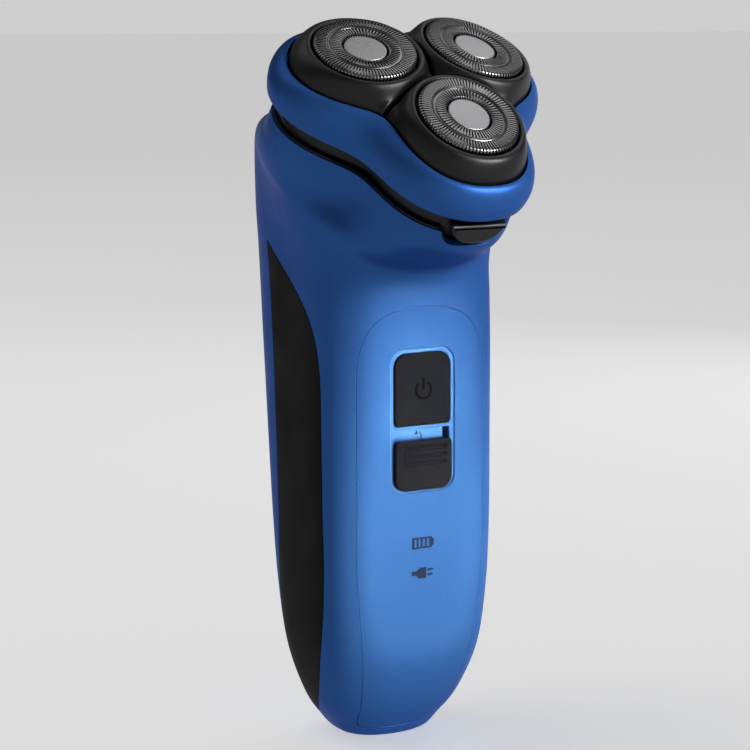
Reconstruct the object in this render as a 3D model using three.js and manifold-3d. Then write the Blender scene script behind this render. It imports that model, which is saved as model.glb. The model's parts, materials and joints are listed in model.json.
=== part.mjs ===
// Rotary electric shaver with three floating heads, a hinged shaving unit and a pop-up trimmer.
// Millimetres, +Z up, front towards -Y. The origin is on the flat base that the shaver stands on.

import * as THREE from 'three';
import { mergeVertices } from 'three/addons/utils/BufferGeometryUtils.js';
import Module from 'manifold-3d';

const wasm = await Module();
wasm.setup();

// ---------------------------------------------------------------- driving dimensions

const GAP = 0.3;                // clearance between neighbouring pieces
const WALL = 2.2;               // shell wall
const GRIP_THICKNESS = 1.1;
const COLUMNS = 32;             // facets round the body

// The shaving unit stands on a plane that leans forward over the handle.
const HEAD_ORIGIN = new THREE.Vector3(0, -25.06, 151.9);
const HEAD_LEAN = THREE.MathUtils.degToRad(35.15);

const HEAD_NAMES = ['front', 'right', 'left'];
const HEAD_COUNT = HEAD_NAMES.length;
const GUARD_CIRCLE = 16.05;     // guard centres from the head axis
const GUARD_RADIUS = 11.4;
const GUARD_LEAN = THREE.MathUtils.degToRad(6.24);
const BLADES = 6;

const RING_TOP = { lobe: 31.5, waist: 18.7 };
const RING_GIRTH = { lobe: 34.5, waist: 23.6 };
const RING_FOOT = { lobe: 34.0, waist: 23.4 };
const RING_FOOT_DEPTH = 15;
const RING_CREST = { lobe: 7, waist: 5.4 };  // depth of the ring's upper edge

const SPINDLE_CIRCLE = 15.2;
const PINION_TEETH = 8;
const GEAR_TEETH = 24;
const GEAR_MODULE = 2 * SPINDLE_CIRCLE / (PINION_TEETH + GEAR_TEETH);

const HEAD_HINGE = { v: 22.5, depth: 17.5, pinRadius: 1.0 };

const NECK = { lobe: 29.6, waist: 18.8, top: 15.6, foot: 23.4, wall: 1.1, seatTop: 17 };
const MOTOR = { radius: 11.6, top: 24, length: 25 };

const BUTTON_WIDTH = 13.8;
const POWER_BUTTON = { low: 73.7, high: 89.2 };
const SLIDER = { low: 59.2, high: 69.6, windowTop: 72.4, travel: 2.6 };
const BEZEL = { width: 16.6, low: 58.2, high: 90.6, front: -18.5, back: -15.6, corner: 3.6 };
const PANEL = { halfWidth: 16.3, low: 2.4, high: 99.8, footHalfWidth: 11.2 };

const CELL = { radius: 7.0, length: 50, x: 7.4, y: 5.4, low: 26.2 };
const INLET = { y: 4.5, width: 10, depth: 5.4 };
const TRIMMER = { halfWidth: 11.5, low: 109.3, high: 139, pivotY: 24.0, pivotZ: 109.8, pinRadius: 0.6 };
const SCREW = { x: 8, z: 22, radius: 1.0 };
const SLIDER_FLOOR = -16.8;
const SPRING_POST = 71.9;
const SLIDER_STEM = { low: 62.9, high: 65.7 };

// ---------------------------------------------------------------- materials

function finish(color, roughness, metalness = 0) {
  return new THREE.MeshStandardMaterial({ color, roughness, metalness });
}

const BLUE = finish(0x2f63b4, 0.38, 0.35);
const BLACK = finish(0x1a1b1e, 0.5);
const GRIP_BLACK = finish(0x141517, 0.75);
const DARK_GREY = finish(0x3a3b40, 0.5);
const STEEL = finish(0x8b8c90, 0.3, 1.0);
const CAP_STEEL = finish(0xa6a8ab, 0.35, 1.0);
const WHITE_PLASTIC = finish(0xd9d9d6, 0.5);
const BRASS = finish(0xb8963e, 0.35, 1.0);
const BOARD_GREEN = finish(0x1f6b3a, 0.6);
const CELL_GREEN = finish(0x2f7f4a, 0.5);
const CLEAR = finish(0xdfe6ee, 0.2);

// ---------------------------------------------------------------- solid helpers

function toSolid(geometry) {
  const bare = new THREE.BufferGeometry();
  bare.setAttribute('position', geometry.getAttribute('position'));
  if (geometry.index) bare.setIndex(geometry.index);
  const merged = mergeVertices(bare, 1e-4);
  return new wasm.Manifold(new wasm.Mesh({
    numProp: 3,
    vertProperties: new Float32Array(merged.getAttribute('position').array),
    triVerts: new Uint32Array(merged.index.array),
  }));
}

function toGeometry(solid) {
  const mesh = solid.getMesh();
  const geometry = new THREE.BufferGeometry();
  geometry.setAttribute('position', new THREE.BufferAttribute(mesh.vertProperties, 3));
  geometry.setIndex(new THREE.BufferAttribute(mesh.triVerts, 1));
  return geometry;
}

function join(...geometries) {
  return toGeometry(geometries.map(toSolid).reduce((sum, next) => sum.add(next)));
}

function cut(geometry, ...tools) {
  return toGeometry(tools.map(toSolid).reduce((rest, tool) => rest.subtract(tool), toSolid(geometry)));
}

function overlap(a, b) {
  return toGeometry(toSolid(a).intersect(toSolid(b)));
}

// A box given by its low and high corners.
function block(low, high) {
  const size = low.map((value, axis) => high[axis] - value);
  const centre = low.map((value, axis) => (high[axis] + value) / 2);
  return new THREE.BoxGeometry(...size).translate(...centre);
}

// A rod along Z from low to high.
function rod(radius, low, high, sides = 24) {
  const geometry = new THREE.CylinderGeometry(radius, radius, high - low, sides);
  return geometry.rotateX(Math.PI / 2).translate(0, 0, (low + high) / 2);
}

// A rod along X, centred on x = 0.
function crossRod(radius, length, y, z, sides = 12) {
  const geometry = new THREE.CylinderGeometry(radius, radius, length, sides);
  return geometry.rotateZ(Math.PI / 2).translate(0, y, z);
}

// A rod along Y from front to back at the given x and z.
function alongY(radius, front, back, x, z, sides = 20) {
  const geometry = new THREE.CylinderGeometry(radius, radius, back - front, sides);
  return geometry.translate(x, (front + back) / 2, z);
}

// A solid of revolution about Z from [radius, height] points, in either order.
function turned(profile, sides = 32) {
  const points = profile.map(([radius, height]) => new THREE.Vector2(radius, height));
  if (THREE.ShapeUtils.area(points) < 0) points.reverse();
  return new THREE.LatheGeometry(points, sides).rotateX(Math.PI / 2);
}

// An outline extruded upwards from low to high.
function slab(outline, low, high, curveSegments = 3) {
  const options = { depth: high - low, bevelEnabled: false, curveSegments };
  return new THREE.ExtrudeGeometry(outline, options).translate(0, 0, low);
}

// An outline drawn in X and Z, extruded along Y from front to back.
function frontSlab(outline, front, back, curveSegments = 3) {
  return slab(outline, -back, -front, curveSegments).rotateX(Math.PI / 2);
}

// An outline drawn in Y and Z, extruded along X from left to right.
function sideSlab(outline, left, right) {
  const geometry = slab(outline, left, right);
  return geometry.rotateY(Math.PI / 2).rotateX(Math.PI / 2);
}

function roundedBox(low, high, radius) {
  const [x0, y0] = low;
  const [x1, y1] = high;
  const shape = new THREE.Shape();
  shape.moveTo(x0 + radius, y0);
  shape.lineTo(x1 - radius, y0);
  shape.absarc(x1 - radius, y0 + radius, radius, -Math.PI / 2, 0);
  shape.lineTo(x1, y1 - radius);
  shape.absarc(x1 - radius, y1 - radius, radius, 0, Math.PI / 2);
  shape.lineTo(x0 + radius, y1);
  shape.absarc(x0 + radius, y1 - radius, radius, Math.PI / 2, Math.PI);
  shape.lineTo(x0, y0 + radius);
  shape.absarc(x0 + radius, y0 + radius, radius, Math.PI, Math.PI * 1.5);
  return shape;
}

// A slot outline with round ends, long in X, centred on x = 0 and the given y.
function stadium(width, depth, y) {
  const radius = depth / 2;
  return roundedBox([-width / 2, y - radius], [width / 2, y + radius], radius - 0.001);
}

function polygon(points) {
  return new THREE.Shape(points.map(([x, y]) => new THREE.Vector2(x, y)));
}

// A closed skin over a stack of rings, closed by a fan at each end.
function loft(rings) {
  const count = rings[0].length;
  const positions = rings.flat().flatMap((point) => point.toArray());
  const index = [];
  for (let row = 0; row < rings.length - 1; row += 1) {
    for (let column = 0; column < count; column += 1) {
      const next = (column + 1) % count;
      const a = row * count + column;
      const b = row * count + next;
      index.push(a, b, b + count, a, b + count, a + count);
    }
  }
  const ends = [rings[0], rings[rings.length - 1]];
  ends.forEach((ring, end) => {
    const centre = ring.reduce((sum, point) => sum.add(point), new THREE.Vector3()).divideScalar(count);
    const hub = positions.length / 3;
    positions.push(...centre.toArray());
    const first = end * (rings.length - 1) * count;
    for (let column = 0; column < count; column += 1) {
      const a = first + column;
      const b = first + (column + 1) % count;
      index.push(...(end === 0 ? [hub, b, a] : [hub, a, b]));
    }
  });
  const geometry = new THREE.BufferGeometry();
  geometry.setAttribute('position', new THREE.Float32BufferAttribute(positions, 3));
  geometry.setIndex(index);
  return geometry;
}

// A closed skin over sections that follow one another round a loop.
function closedBand(sections) {
  const count = sections[0].length;
  const positions = sections.flat().flatMap((point) => point.toArray());
  const index = [];
  sections.forEach((_, row) => {
    for (let column = 0; column < count; column += 1) {
      const a = row * count + column;
      const b = row * count + (column + 1) % count;
      const c = ((row + 1) % sections.length) * count + (column + 1) % count;
      const d = ((row + 1) % sections.length) * count + column;
      index.push(a, b, c, a, c, d);
    }
  });
  const geometry = new THREE.BufferGeometry();
  geometry.setAttribute('position', new THREE.Float32BufferAttribute(positions, 3));
  geometry.setIndex(index);
  return geometry;
}

// ---------------------------------------------------------------- three-lobed outlines

// 0 at the middle of a lobe, 1 at a waist. The first lobe points to the front.
function waistness(angle) {
  return ((1 - Math.cos(HEAD_COUNT * (angle + Math.PI / 2))) / 2) ** 1.35;
}

function lobedRadius(angle, size) {
  return size.lobe - (size.lobe - size.waist) * waistness(angle);
}

function angles(count) {
  return Array.from({ length: count }, (_, step) => (2 * Math.PI * step) / count);
}

function lobedRing(size, depthAt, count = 36) {
  return angles(count).map((angle) => {
    const radius = lobedRadius(angle, size);
    return new THREE.Vector3(radius * Math.cos(angle), radius * Math.sin(angle), -depthAt(angle));
  });
}

function shrink(size, amount) {
  return { lobe: size.lobe - amount, waist: size.waist - amount };
}

// A three-lobed plate between two depths below the guard plane.
function lobedPlate(size, top, foot, count = 36) {
  return loft([lobedRing(size, () => foot, count), lobedRing(size, () => top, count)]);
}

// ---------------------------------------------------------------- body surface

// Every station is a closed section through a front point and a back point. `half` is its half width,
// `frontPower` and `backPower` square its corners, and `lobed` turns it into the collar's outline.
function handleStation(frontY, frontZ, backY, backZ, half, frontPower, backPower, lobed = 0) {
  return { frontY, frontZ, backY, backZ, half, frontPower, backPower, lobed };
}

// A station in a plane parallel to the guard plane: front and back distances from the head axis.
function collarStation(front, back, depth, half, backPower, lobed) {
  const y = (v) => HEAD_ORIGIN.y + v * Math.cos(HEAD_LEAN) + depth * Math.sin(HEAD_LEAN);
  const z = (v) => HEAD_ORIGIN.z + v * Math.sin(HEAD_LEAN) - depth * Math.cos(HEAD_LEAN);
  const frontPower = lobed < 0.5 ? 2.8 : 2.5;
  return handleStation(y(front), z(front), y(back), z(back), half, frontPower, backPower, lobed);
}

const STATIONS = [
  handleStation(-7.0, 0, 9.4, 0, 9.4, 2.3, 2.2),
  handleStation(-8.0, 0.8, 11.3, 0.8, 11.2, 2.4, 2.3),
  handleStation(-9.4, 3.2, 12.9, 3.2, 13.4, 2.5, 2.5),
  handleStation(-13.2, 9, 13.8, 9, 17.1, 2.9, 2.9),
  handleStation(-17.0, 20, 15.6, 20, 20.5, 3.5, 3.4),
  handleStation(-18.2, 34, 17.5, 34, 21.9, 4.0, 3.7),
  handleStation(-18.8, 50, 19.4, 50, 22.3, 4.2, 3.9),
  handleStation(-18.9, 70, 21.6, 70, 22.4, 4.2, 4.0),
  handleStation(-18.9, 88, 23.8, 90, 22.5, 4.2, 4.0),
  handleStation(-18.9, 99, 25.7, 112, 22.7, 3.9, 4.0),
  handleStation(-19.5, 105.5, 26.8, 126, 23.4, 3.3, 4.0, 0.05),
  collarStation(-22.3, 35.2, 37.5, 25.6, 3.6, 0.2),
  collarStation(-25.6, 33.4, 33, 27.6, 3.2, 0.45),
  collarStation(-29.0, 29.6, 29, 28.4, 2.8, 0.75),
  collarStation(-31.3, 25.0, 25.5, 28.4, 2.6, 0.95),
  collarStation(-32.1, 22.6, 22.5, 28.0, 2.6, 1),
  collarStation(-32.0, 21.4, 20, 27.7, 2.6, 1),
];
const RIM = STATIONS.length - 1;

// Catmull-Rom between neighbouring stations.
function stationAt(place) {
  const first = Math.min(Math.floor(place), RIM - 1);
  const t = place - first;
  const blended = {};
  for (const key of Object.keys(STATIONS[0])) {
    const b = STATIONS[first][key];
    const c = STATIONS[first + 1][key];
    const a = first > 0 ? STATIONS[first - 1][key] : 2 * b - c;
    const d = first + 2 <= RIM ? STATIONS[first + 2][key] : 2 * c - b;
    blended[key] = 0.5 * (2 * b + (c - a) * t + (2 * a - 5 * b + 4 * c - d) * t * t
      + (3 * b - a - 3 * c + d) * t * t * t);
  }
  return blended;
}

function mix(a, b, share) {
  return a + (b - a) * share;
}

// The ring of surface points at a place along the body, moved inwards by `inset`.
function bodyRing(place, inset = 0, count = COLUMNS) {
  const station = stationAt(place);
  const length = Math.hypot(station.backY - station.frontY, station.backZ - station.frontZ);
  const alongY = (station.backY - station.frontY) / length;
  const alongZ = (station.backZ - station.frontZ) / length;
  const toHandleAxis = -station.frontY / alongY;
  const toHeadAxis = (HEAD_ORIGIN.y - station.frontY) * Math.cos(HEAD_LEAN)
    + (HEAD_ORIGIN.z - station.frontZ) * Math.sin(HEAD_LEAN);
  const reach = mix(toHandleAxis, toHeadAxis, station.lobed);
  const centreY = station.frontY + alongY * reach;
  const centreZ = station.frontZ + alongZ * reach;
  const front = reach - inset;
  const back = length - reach - inset;
  const half = station.half - inset;
  return angles(count).map((angle) => {
    const across = Math.cos(angle);
    const along = Math.sin(angle);
    const power = along < 0 ? station.frontPower : station.backPower;
    const depth = along < 0 ? front : back;
    const squared = (Math.abs(across / half) ** power + Math.abs(along / depth) ** power) ** (-1 / power);
    const rearShare = Math.max(along, 0) ** 4;
    const waist = Math.max(21.4 - inset, front * 0.66);
    const lobed = mix(lobedRadius(angle, { lobe: front, waist }), back, rearShare);
    const radius = mix(squared, lobed, station.lobed);
    const v = radius * along;
    return new THREE.Vector3(radius * across, centreY + alongY * v, centreZ + alongZ * v);
  });
}

const BODY_PLACES = [0, 1, 2, 2.6, 3.2, 4, 5, 6, 7.5, 9, 10, 10.7, 11.4, 12, 13, 14, 15, 16];

function bodySolid(inset = 0) {
  return loft(BODY_PLACES.map((place) => bodyRing(place, inset)));
}

// The hollow of the body: closed at the base by the wall, and open through the collar.
function bodyHollow(inset) {
  const rings = BODY_PLACES.filter((place) => place >= 2).map((place) => bodyRing(place, inset));
  const rim = rings[rings.length - 1];
  const up = new THREE.Vector3(0, -Math.sin(HEAD_LEAN), Math.cos(HEAD_LEAN)).multiplyScalar(3);
  rings.push(rim.map((point) => point.clone().add(up)));
  return loft(rings);
}

// The skin of the body down to a depth, used for panels and recesses that lie in the surface.
function bodySkin(depth, proud = 0) {
  return cut(bodySolid(-proud), bodySolid(depth));
}

// ---------------------------------------------------------------- outlines in the body surface

// An outline moved outwards by `amount` along its own normals.
function grown(outline, amount, divisions = 3) {
  const points = outline.getPoints(divisions);
  if (points[0].distanceTo(points[points.length - 1]) < 1e-6) points.pop();
  const turn = Math.sign(THREE.ShapeUtils.area(points));
  const moved = points.map((point, i) => {
    const before = point.clone().sub(points.at(i - 1)).normalize();
    const after = points[(i + 1) % points.length].clone().sub(point).normalize();
    const along = before.add(after).normalize();
    return new THREE.Vector2(point.x + turn * amount * along.y, point.y - turn * amount * along.x);
  });
  return new THREE.Shape(moved);
}

// The side grip, in Y and Z: pointed at the upper back, wrapped round the lower back.
function gripOutline() {
  const shape = new THREE.Shape();
  shape.moveTo(11.5, 113.5);
  shape.bezierCurveTo(-5, 101, -11.3, 99, -11.4, 80);
  shape.lineTo(-11.6, 45);
  shape.bezierCurveTo(-11.4, 27, -7, 14, 3.2, 5);
  shape.bezierCurveTo(8, 6, 11.2, 14, 10.6, 24);
  shape.bezierCurveTo(9.6, 33, 8.2, 42, 8.2, 52);
  shape.bezierCurveTo(8.6, 75, 9.6, 95, 11.5, 113.5);
  return shape;
}

// The front panel, in X and Z: an arch on top, drawn in towards the foot.
function panelOutline() {
  const { halfWidth, footHalfWidth, low, high } = PANEL;
  const shape = new THREE.Shape();
  shape.moveTo(3 - footHalfWidth, low);
  shape.lineTo(footHalfWidth - 3, low);
  shape.bezierCurveTo(footHalfWidth - 1, low, footHalfWidth, low + 1.4, footHalfWidth + 0.4, low + 4.5);
  shape.bezierCurveTo(footHalfWidth + 2.6, low + 16, halfWidth, 34, halfWidth, 48);
  shape.lineTo(halfWidth, 84);
  shape.bezierCurveTo(halfWidth, 95, 12, high, 0, high);
  shape.bezierCurveTo(-12, high, -halfWidth, 95, -halfWidth, 84);
  shape.lineTo(-halfWidth, 48);
  shape.bezierCurveTo(-halfWidth, 34, -footHalfWidth - 2.6, low + 16, -footHalfWidth - 0.4, low + 4.5);
  shape.bezierCurveTo(-footHalfWidth, low + 1.4, 1 - footHalfWidth, low, 3 - footHalfWidth, low);
  return shape;
}

function bezelOutline() {
  const half = BEZEL.width / 2;
  return roundedBox([-half, BEZEL.low], [half, BEZEL.high], BEZEL.corner);
}

// The opening of the power button: round at the top, almost square where it meets the bar.
function powerOutline() {
  return roundedBox([-BUTTON_WIDTH / 2, POWER_BUTTON.low], [BUTTON_WIDTH / 2, POWER_BUTTON.high], 1.6);
}

function sliderOutline(high) {
  return roundedBox([-BUTTON_WIDTH / 2, SLIDER.low], [BUTTON_WIDTH / 2, high], 1.2);
}

function trimmerOutline() {
  return roundedBox([-TRIMMER.halfWidth, TRIMMER.low], [TRIMMER.halfWidth, TRIMMER.high], 1.2);
}

// ---------------------------------------------------------------- scene graph

const shaver = new THREE.Group();
const head = new THREE.Group();
head.position.copy(HEAD_ORIGIN);
head.rotation.x = HEAD_LEAN;
shaver.add(head);

function add(parent, name, geometry, material) {
  const mesh = new THREE.Mesh(geometry, material);
  mesh.name = name;
  parent.add(mesh);
  return mesh;
}

// A geometry drawn in the head's frame, moved into the body's frame.
function fromHead(geometry) {
  const matrix = new THREE.Matrix4().makeRotationX(HEAD_LEAN).setPosition(HEAD_ORIGIN);
  return geometry.applyMatrix4(matrix);
}

// ---------------------------------------------------------------- half shells, grips and panel

const SIDES = [{ name: 'left', sign: -1 }, { name: 'right', sign: 1 }];

function gripPrism(sign, amount) {
  const outline = amount > 0 ? grown(gripOutline(), amount) : gripOutline();
  return sign < 0 ? sideSlab(outline, -45, -10) : sideSlab(outline, 10, 45);
}

function gripRecess(sign) {
  return overlap(bodySkin(GRIP_THICKNESS + GAP, 1), gripPrism(sign, GAP));
}

// Everything behind the seam between the two half shells.
function rearRegion(gap) {
  const shape = polygon([
    [-3 - gap, -5], [60, -5], [60, 152], [13.2 - gap, 152],
    [13.2 - gap, 128], [11.6 - gap, 113.5], [-3 - gap, 100],
  ]);
  return sideSlab(shape, -45, 45);
}

function addShells() {
  const shell = cut(bodySolid(), bodyHollow(WALL));
  const recessed = cut(shell, ...SIDES.map(({ sign }) => gripRecess(sign)));

  const panelHole = frontSlab(grown(panelOutline(), GAP), -40, GAP - 4);
  const neckSeat = fromHead(lobedPlate(shrink(NECK, -0.5), NECK.seatTop, NECK.foot + 1));
  const notch = fromHead(frontSlab(roundedBox([-7.2, -23.2], [7.2, -17], 3), -40, -28));
  const front = cut(recessed, rearRegion(GAP), panelHole, neckSeat, notch);
  add(shaver, 'front_shell', front, BLUE);

  const windowHalf = TRIMMER.halfWidth + GAP;
  const windowLow = [-windowHalf, TRIMMER.low - 1.3];
  const window = frontSlab(roundedBox(windowLow, [windowHalf, TRIMMER.high + GAP], 1.2), 15, 45);
  const inletHole = slab(stadium(INLET.width + 2 * GAP, INLET.depth + 2 * GAP, INLET.y), -1, 5);
  const screwHoles = SIDES.map(({ sign }) => alongY(2.6, 8, 30, sign * SCREW.x, SCREW.z));
  const rear = cut(overlap(recessed, rearRegion(0)), window, inletHole, ...screwHoles);
  const lugs = SIDES.map(({ sign }) => {
    const sides = [sign * 6.4, sign * 12.4].sort((a, b) => a - b);
    return block([sides[0], 22.6, 107], [sides[1], 25.1, 111.2]);
  });
  const pinHole = crossRod(TRIMMER.pinRadius + GAP, 18, TRIMMER.pivotY, TRIMMER.pivotZ);
  add(shaver, 'rear_shell', cut(join(rear, ...lugs), pinHole), BLUE);

  for (const { name, sign } of SIDES) {
    add(shaver, `${name}_grip`, overlap(bodySkin(GRIP_THICKNESS), gripPrism(sign, 0)), GRIP_BLACK);
  }

  const panel = overlap(bodySkin(WALL), frontSlab(panelOutline(), -40, -4));
  add(shaver, 'front_panel', cut(panel, frontSlab(grown(bezelOutline(), GAP), -40, -4)), BLUE);
}

// ---------------------------------------------------------------- controls on the front

function addControls() {
  const tray = frontSlab(bezelOutline(), BEZEL.front, BEZEL.back);
  const powerWindow = frontSlab(grown(powerOutline(), GAP), -30, 0);
  const sliderWindow = frontSlab(grown(sliderOutline(SLIDER.windowTop), GAP), -30, SLIDER_FLOOR);
  const slotHigh = SLIDER_STEM.high + SLIDER.travel + GAP;
  const stemSlot = block([-1.6, -30, SLIDER_STEM.low - GAP], [1.6, 0, slotHigh]);
  const springPost = block([-1.6, -15.9, SPRING_POST], [1.6, -12.6, SPRING_POST + 1.3]);
  const bezel = join(cut(tray, powerWindow, sliderWindow, stemSlot), springPost);
  add(shaver, 'switch_bezel', bezel, BLUE);

  const powerCap = frontSlab(powerOutline(), -19.1, -16.4);
  const powerStem = block([-1.5, -16.6, 79.9], [1.5, -15.3, 82.9]);
  add(shaver, 'power_button', join(powerCap, powerStem), DARK_GREY);

  const cap = frontSlab(sliderOutline(SLIDER.high), -19.5, SLIDER_FLOOR - GAP);
  const ridges = [0, 1, 2].map((step) => {
    const z = 67.9 - 1.9 * step;
    return block([-6.2, -20, z - 0.35], [6.2, -19.0, z + 0.35]);
  });
  const stem = block([-1.3, SLIDER_FLOOR - 0.5, SLIDER_STEM.low], [1.3, -14.2, SLIDER_STEM.high]);
  const foot = block([-1.6, -15.2, SLIDER_STEM.low], [1.6, -12.6, SLIDER_STEM.high]);
  add(shaver, 'trimmer_slider', join(cut(cap, ...ridges), stem, foot), DARK_GREY);

  const springLow = SLIDER_STEM.high + GAP;
  const springHigh = SPRING_POST - GAP;
  const turns = 5;
  const route = angles(turns * 8).map((_, step) => {
    const turn = step / 8;
    const angle = 2 * Math.PI * turn;
    const z = springLow + 0.2 + (springHigh - springLow - 0.4) * (turn / turns);
    return new THREE.Vector3(0.9 * Math.cos(angle), -13.9 + 0.9 * Math.sin(angle), z);
  });
  const wire = new THREE.Shape().absarc(0, 0, 0.18, 0, 2 * Math.PI);
  const extrudePath = new THREE.CatmullRomCurve3(route);
  const spring = new THREE.ExtrudeGeometry(wire, {
    steps: route.length, curveSegments: 2, bevelEnabled: false, extrudePath,
  });
  add(shaver, 'slider_spring', spring, STEEL);

  const tact = join(block([-3, -13.5, 78.4], [3, -10.5, 84.4]), alongY(1.6, -14.3, -13.3, 0, 81.4, 12));
  add(shaver, 'power_switch', tact, BLACK);
}

// ---------------------------------------------------------------- electrics and chassis

function addInside() {
  add(shaver, 'circuit_board', block([-13, -10.2, 30], [13, -8.6, 97]), BOARD_GREEN);
  for (const [name, z] of [['battery_lamp', 46.8], ['charge_lamp', 39.8]]) {
    add(shaver, name, block([-2.7, -15.9, z - 1.2], [2.7, -10.5, z + 1.2]), CLEAR);
  }

  const plate = block([-15, -7.7, 24], [15, -6.3, 97]);
  const rails = [-1, 1].map((sign) => {
    const sides = [sign * 14.9, sign * 16.4].sort((a, b) => a - b);
    return block([sides[0], -7.7, 26], [sides[1], 7, 76]);
  });
  const shelves = [24, 76.8].map((z) => block([-16.4, -7.7, z], [16.4, 9.5, z + 1.2]));
  const posts = SIDES.map(({ sign }) => alongY(2.4, 6, 10, sign * SCREW.x, SCREW.z, 16));
  const arms = block([-12, 5, 20.4], [12, 8, 24.6]);
  const screwBores = SIDES.map(({ sign }) => alongY(SCREW.radius + GAP, 4, 12, sign * SCREW.x, SCREW.z, 12));
  const chassis = cut(join(plate, ...rails, ...shelves, ...posts, arms), ...screwBores);
  add(shaver, 'chassis', chassis, WHITE_PLASTIC);

  for (const { name, sign } of SIDES) {
    const { low, length } = CELL;
    const cell = turned([
      [0, low], [CELL.radius, low], [CELL.radius, low + length - 1.4], [3, low + length - 1.4],
      [3, low + length], [0, low + length],
    ], 20);
    const mesh = add(shaver, `${name}_cell`, cell, CELL_GREEN);
    mesh.position.set(sign * CELL.x, CELL.y, 0);
  }
  add(shaver, 'cell_link', block([-11, 2.4, 25.5], [11, 8.4, 25.9]), STEEL);

  for (const { name, sign } of SIDES) {
    const screw = join(
      alongY(2.2, 10.3, 12.3, sign * SCREW.x, SCREW.z, 20),
      alongY(SCREW.radius, 4.4, 10.4, sign * SCREW.x, SCREW.z, 12),
    );
    add(shaver, `${name}_screw`, screw, STEEL);
  }
}

function addInlet() {
  const plug = slab(stadium(INLET.width, INLET.depth, INLET.y), GAP, 12);
  const flange = slab(stadium(INLET.width + 3, INLET.depth + 2, INLET.y), 5.3, 6.5);
  const recess = slab(stadium(INLET.width - 1.4, INLET.depth - 0.9, INLET.y), -1, 7.4);
  const pinBores = [-2.2, 2.2].map((x) => rod(0.7, 7, 13, 10).translate(x, INLET.y, 0));
  add(shaver, 'charging_inlet', cut(join(plug, flange), recess, ...pinBores), BLACK);
  for (const { name, sign } of SIDES) {
    const pin = add(shaver, `${name}_contact_pin`, rod(0.4, 4.8, 14, 10), BRASS);
    pin.position.set(sign * 2.2, INLET.y, 0);
  }
}

// ---------------------------------------------------------------- pop-up trimmer

function addTrimmer() {
  const { pivotY, pivotZ, pinRadius } = TRIMMER;
  const cover = overlap(bodySkin(WALL), frontSlab(trimmerOutline(), 15, 45));
  const knuckle = crossRod(1.4, 12, pivotY, pivotZ, 16);
  const rib = block([-8, 22.9, 112.6], [8, 24.8, 128]);
  const lugRoom = [-1, 1].map((sign) => {
    const sides = [sign * 6.1, sign * 12.5].sort((a, b) => a - b);
    return block([sides[0], 20, 106], [sides[1], 32, 111.6]);
  });
  const pinHole = crossRod(pinRadius + GAP, 30, pivotY, pivotZ);
  add(shaver, 'trimmer_cover', cut(join(cover, knuckle, rib), ...lugRoom, pinHole), BLUE);
  add(shaver, 'trimmer_pin', crossRod(pinRadius, 17, pivotY, pivotZ), STEEL);

  const toothed = (half, front, back, low, high, pitch) => {
    const plate = block([-half, front, low], [half, back, high]);
    const count = Math.floor((2 * half - 1) / pitch);
    const slots = Array.from({ length: count }, (_, i) => {
      const x = (i - (count - 1) / 2) * pitch;
      return block([x - pitch / 4, front - 1, high - 1.6], [x + pitch / 4, back + 1, high + 1]);
    });
    return cut(plate, ...slots);
  };
  add(shaver, 'trimmer_comb', toothed(9.5, 21.7, 22.5, 129, 137.6, 1.6), STEEL);
  add(shaver, 'trimmer_blade', toothed(8.2, 20.8, 21.4, 130, 137.0, 1.6), STEEL);
}

// ---------------------------------------------------------------- drive

// A spur gear outline with straight-flanked teeth; `phase` turns it by a share of one tooth.
function gearOutline(teeth, phase = 0) {
  const pitchRadius = (GEAR_MODULE * teeth) / 2;
  const tip = pitchRadius + 0.65 * GEAR_MODULE;
  const root = pitchRadius - 1.0 * GEAR_MODULE;
  const shape = new THREE.Shape();
  for (let tooth = 0; tooth < teeth; tooth += 1) {
    const corners = [[-0.36, root], [-0.13, tip], [0.13, tip], [0.36, root]];
    for (const [offset, radius] of corners) {
      const angle = (2 * Math.PI * (tooth + offset + phase)) / teeth;
      const point = [radius * Math.cos(angle), radius * Math.sin(angle)];
      if (tooth === 0 && offset === corners[0][0]) shape.moveTo(...point);
      else shape.lineTo(...point);
    }
  }
  return shape;
}

function lobeAngle(index) {
  return -Math.PI / 2 + (2 * Math.PI * index) / HEAD_COUNT;
}

function spindlePlace(index) {
  const angle = lobeAngle(index);
  return new THREE.Vector3(SPINDLE_CIRCLE * Math.cos(angle), SPINDLE_CIRCLE * Math.sin(angle), 0);
}

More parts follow.
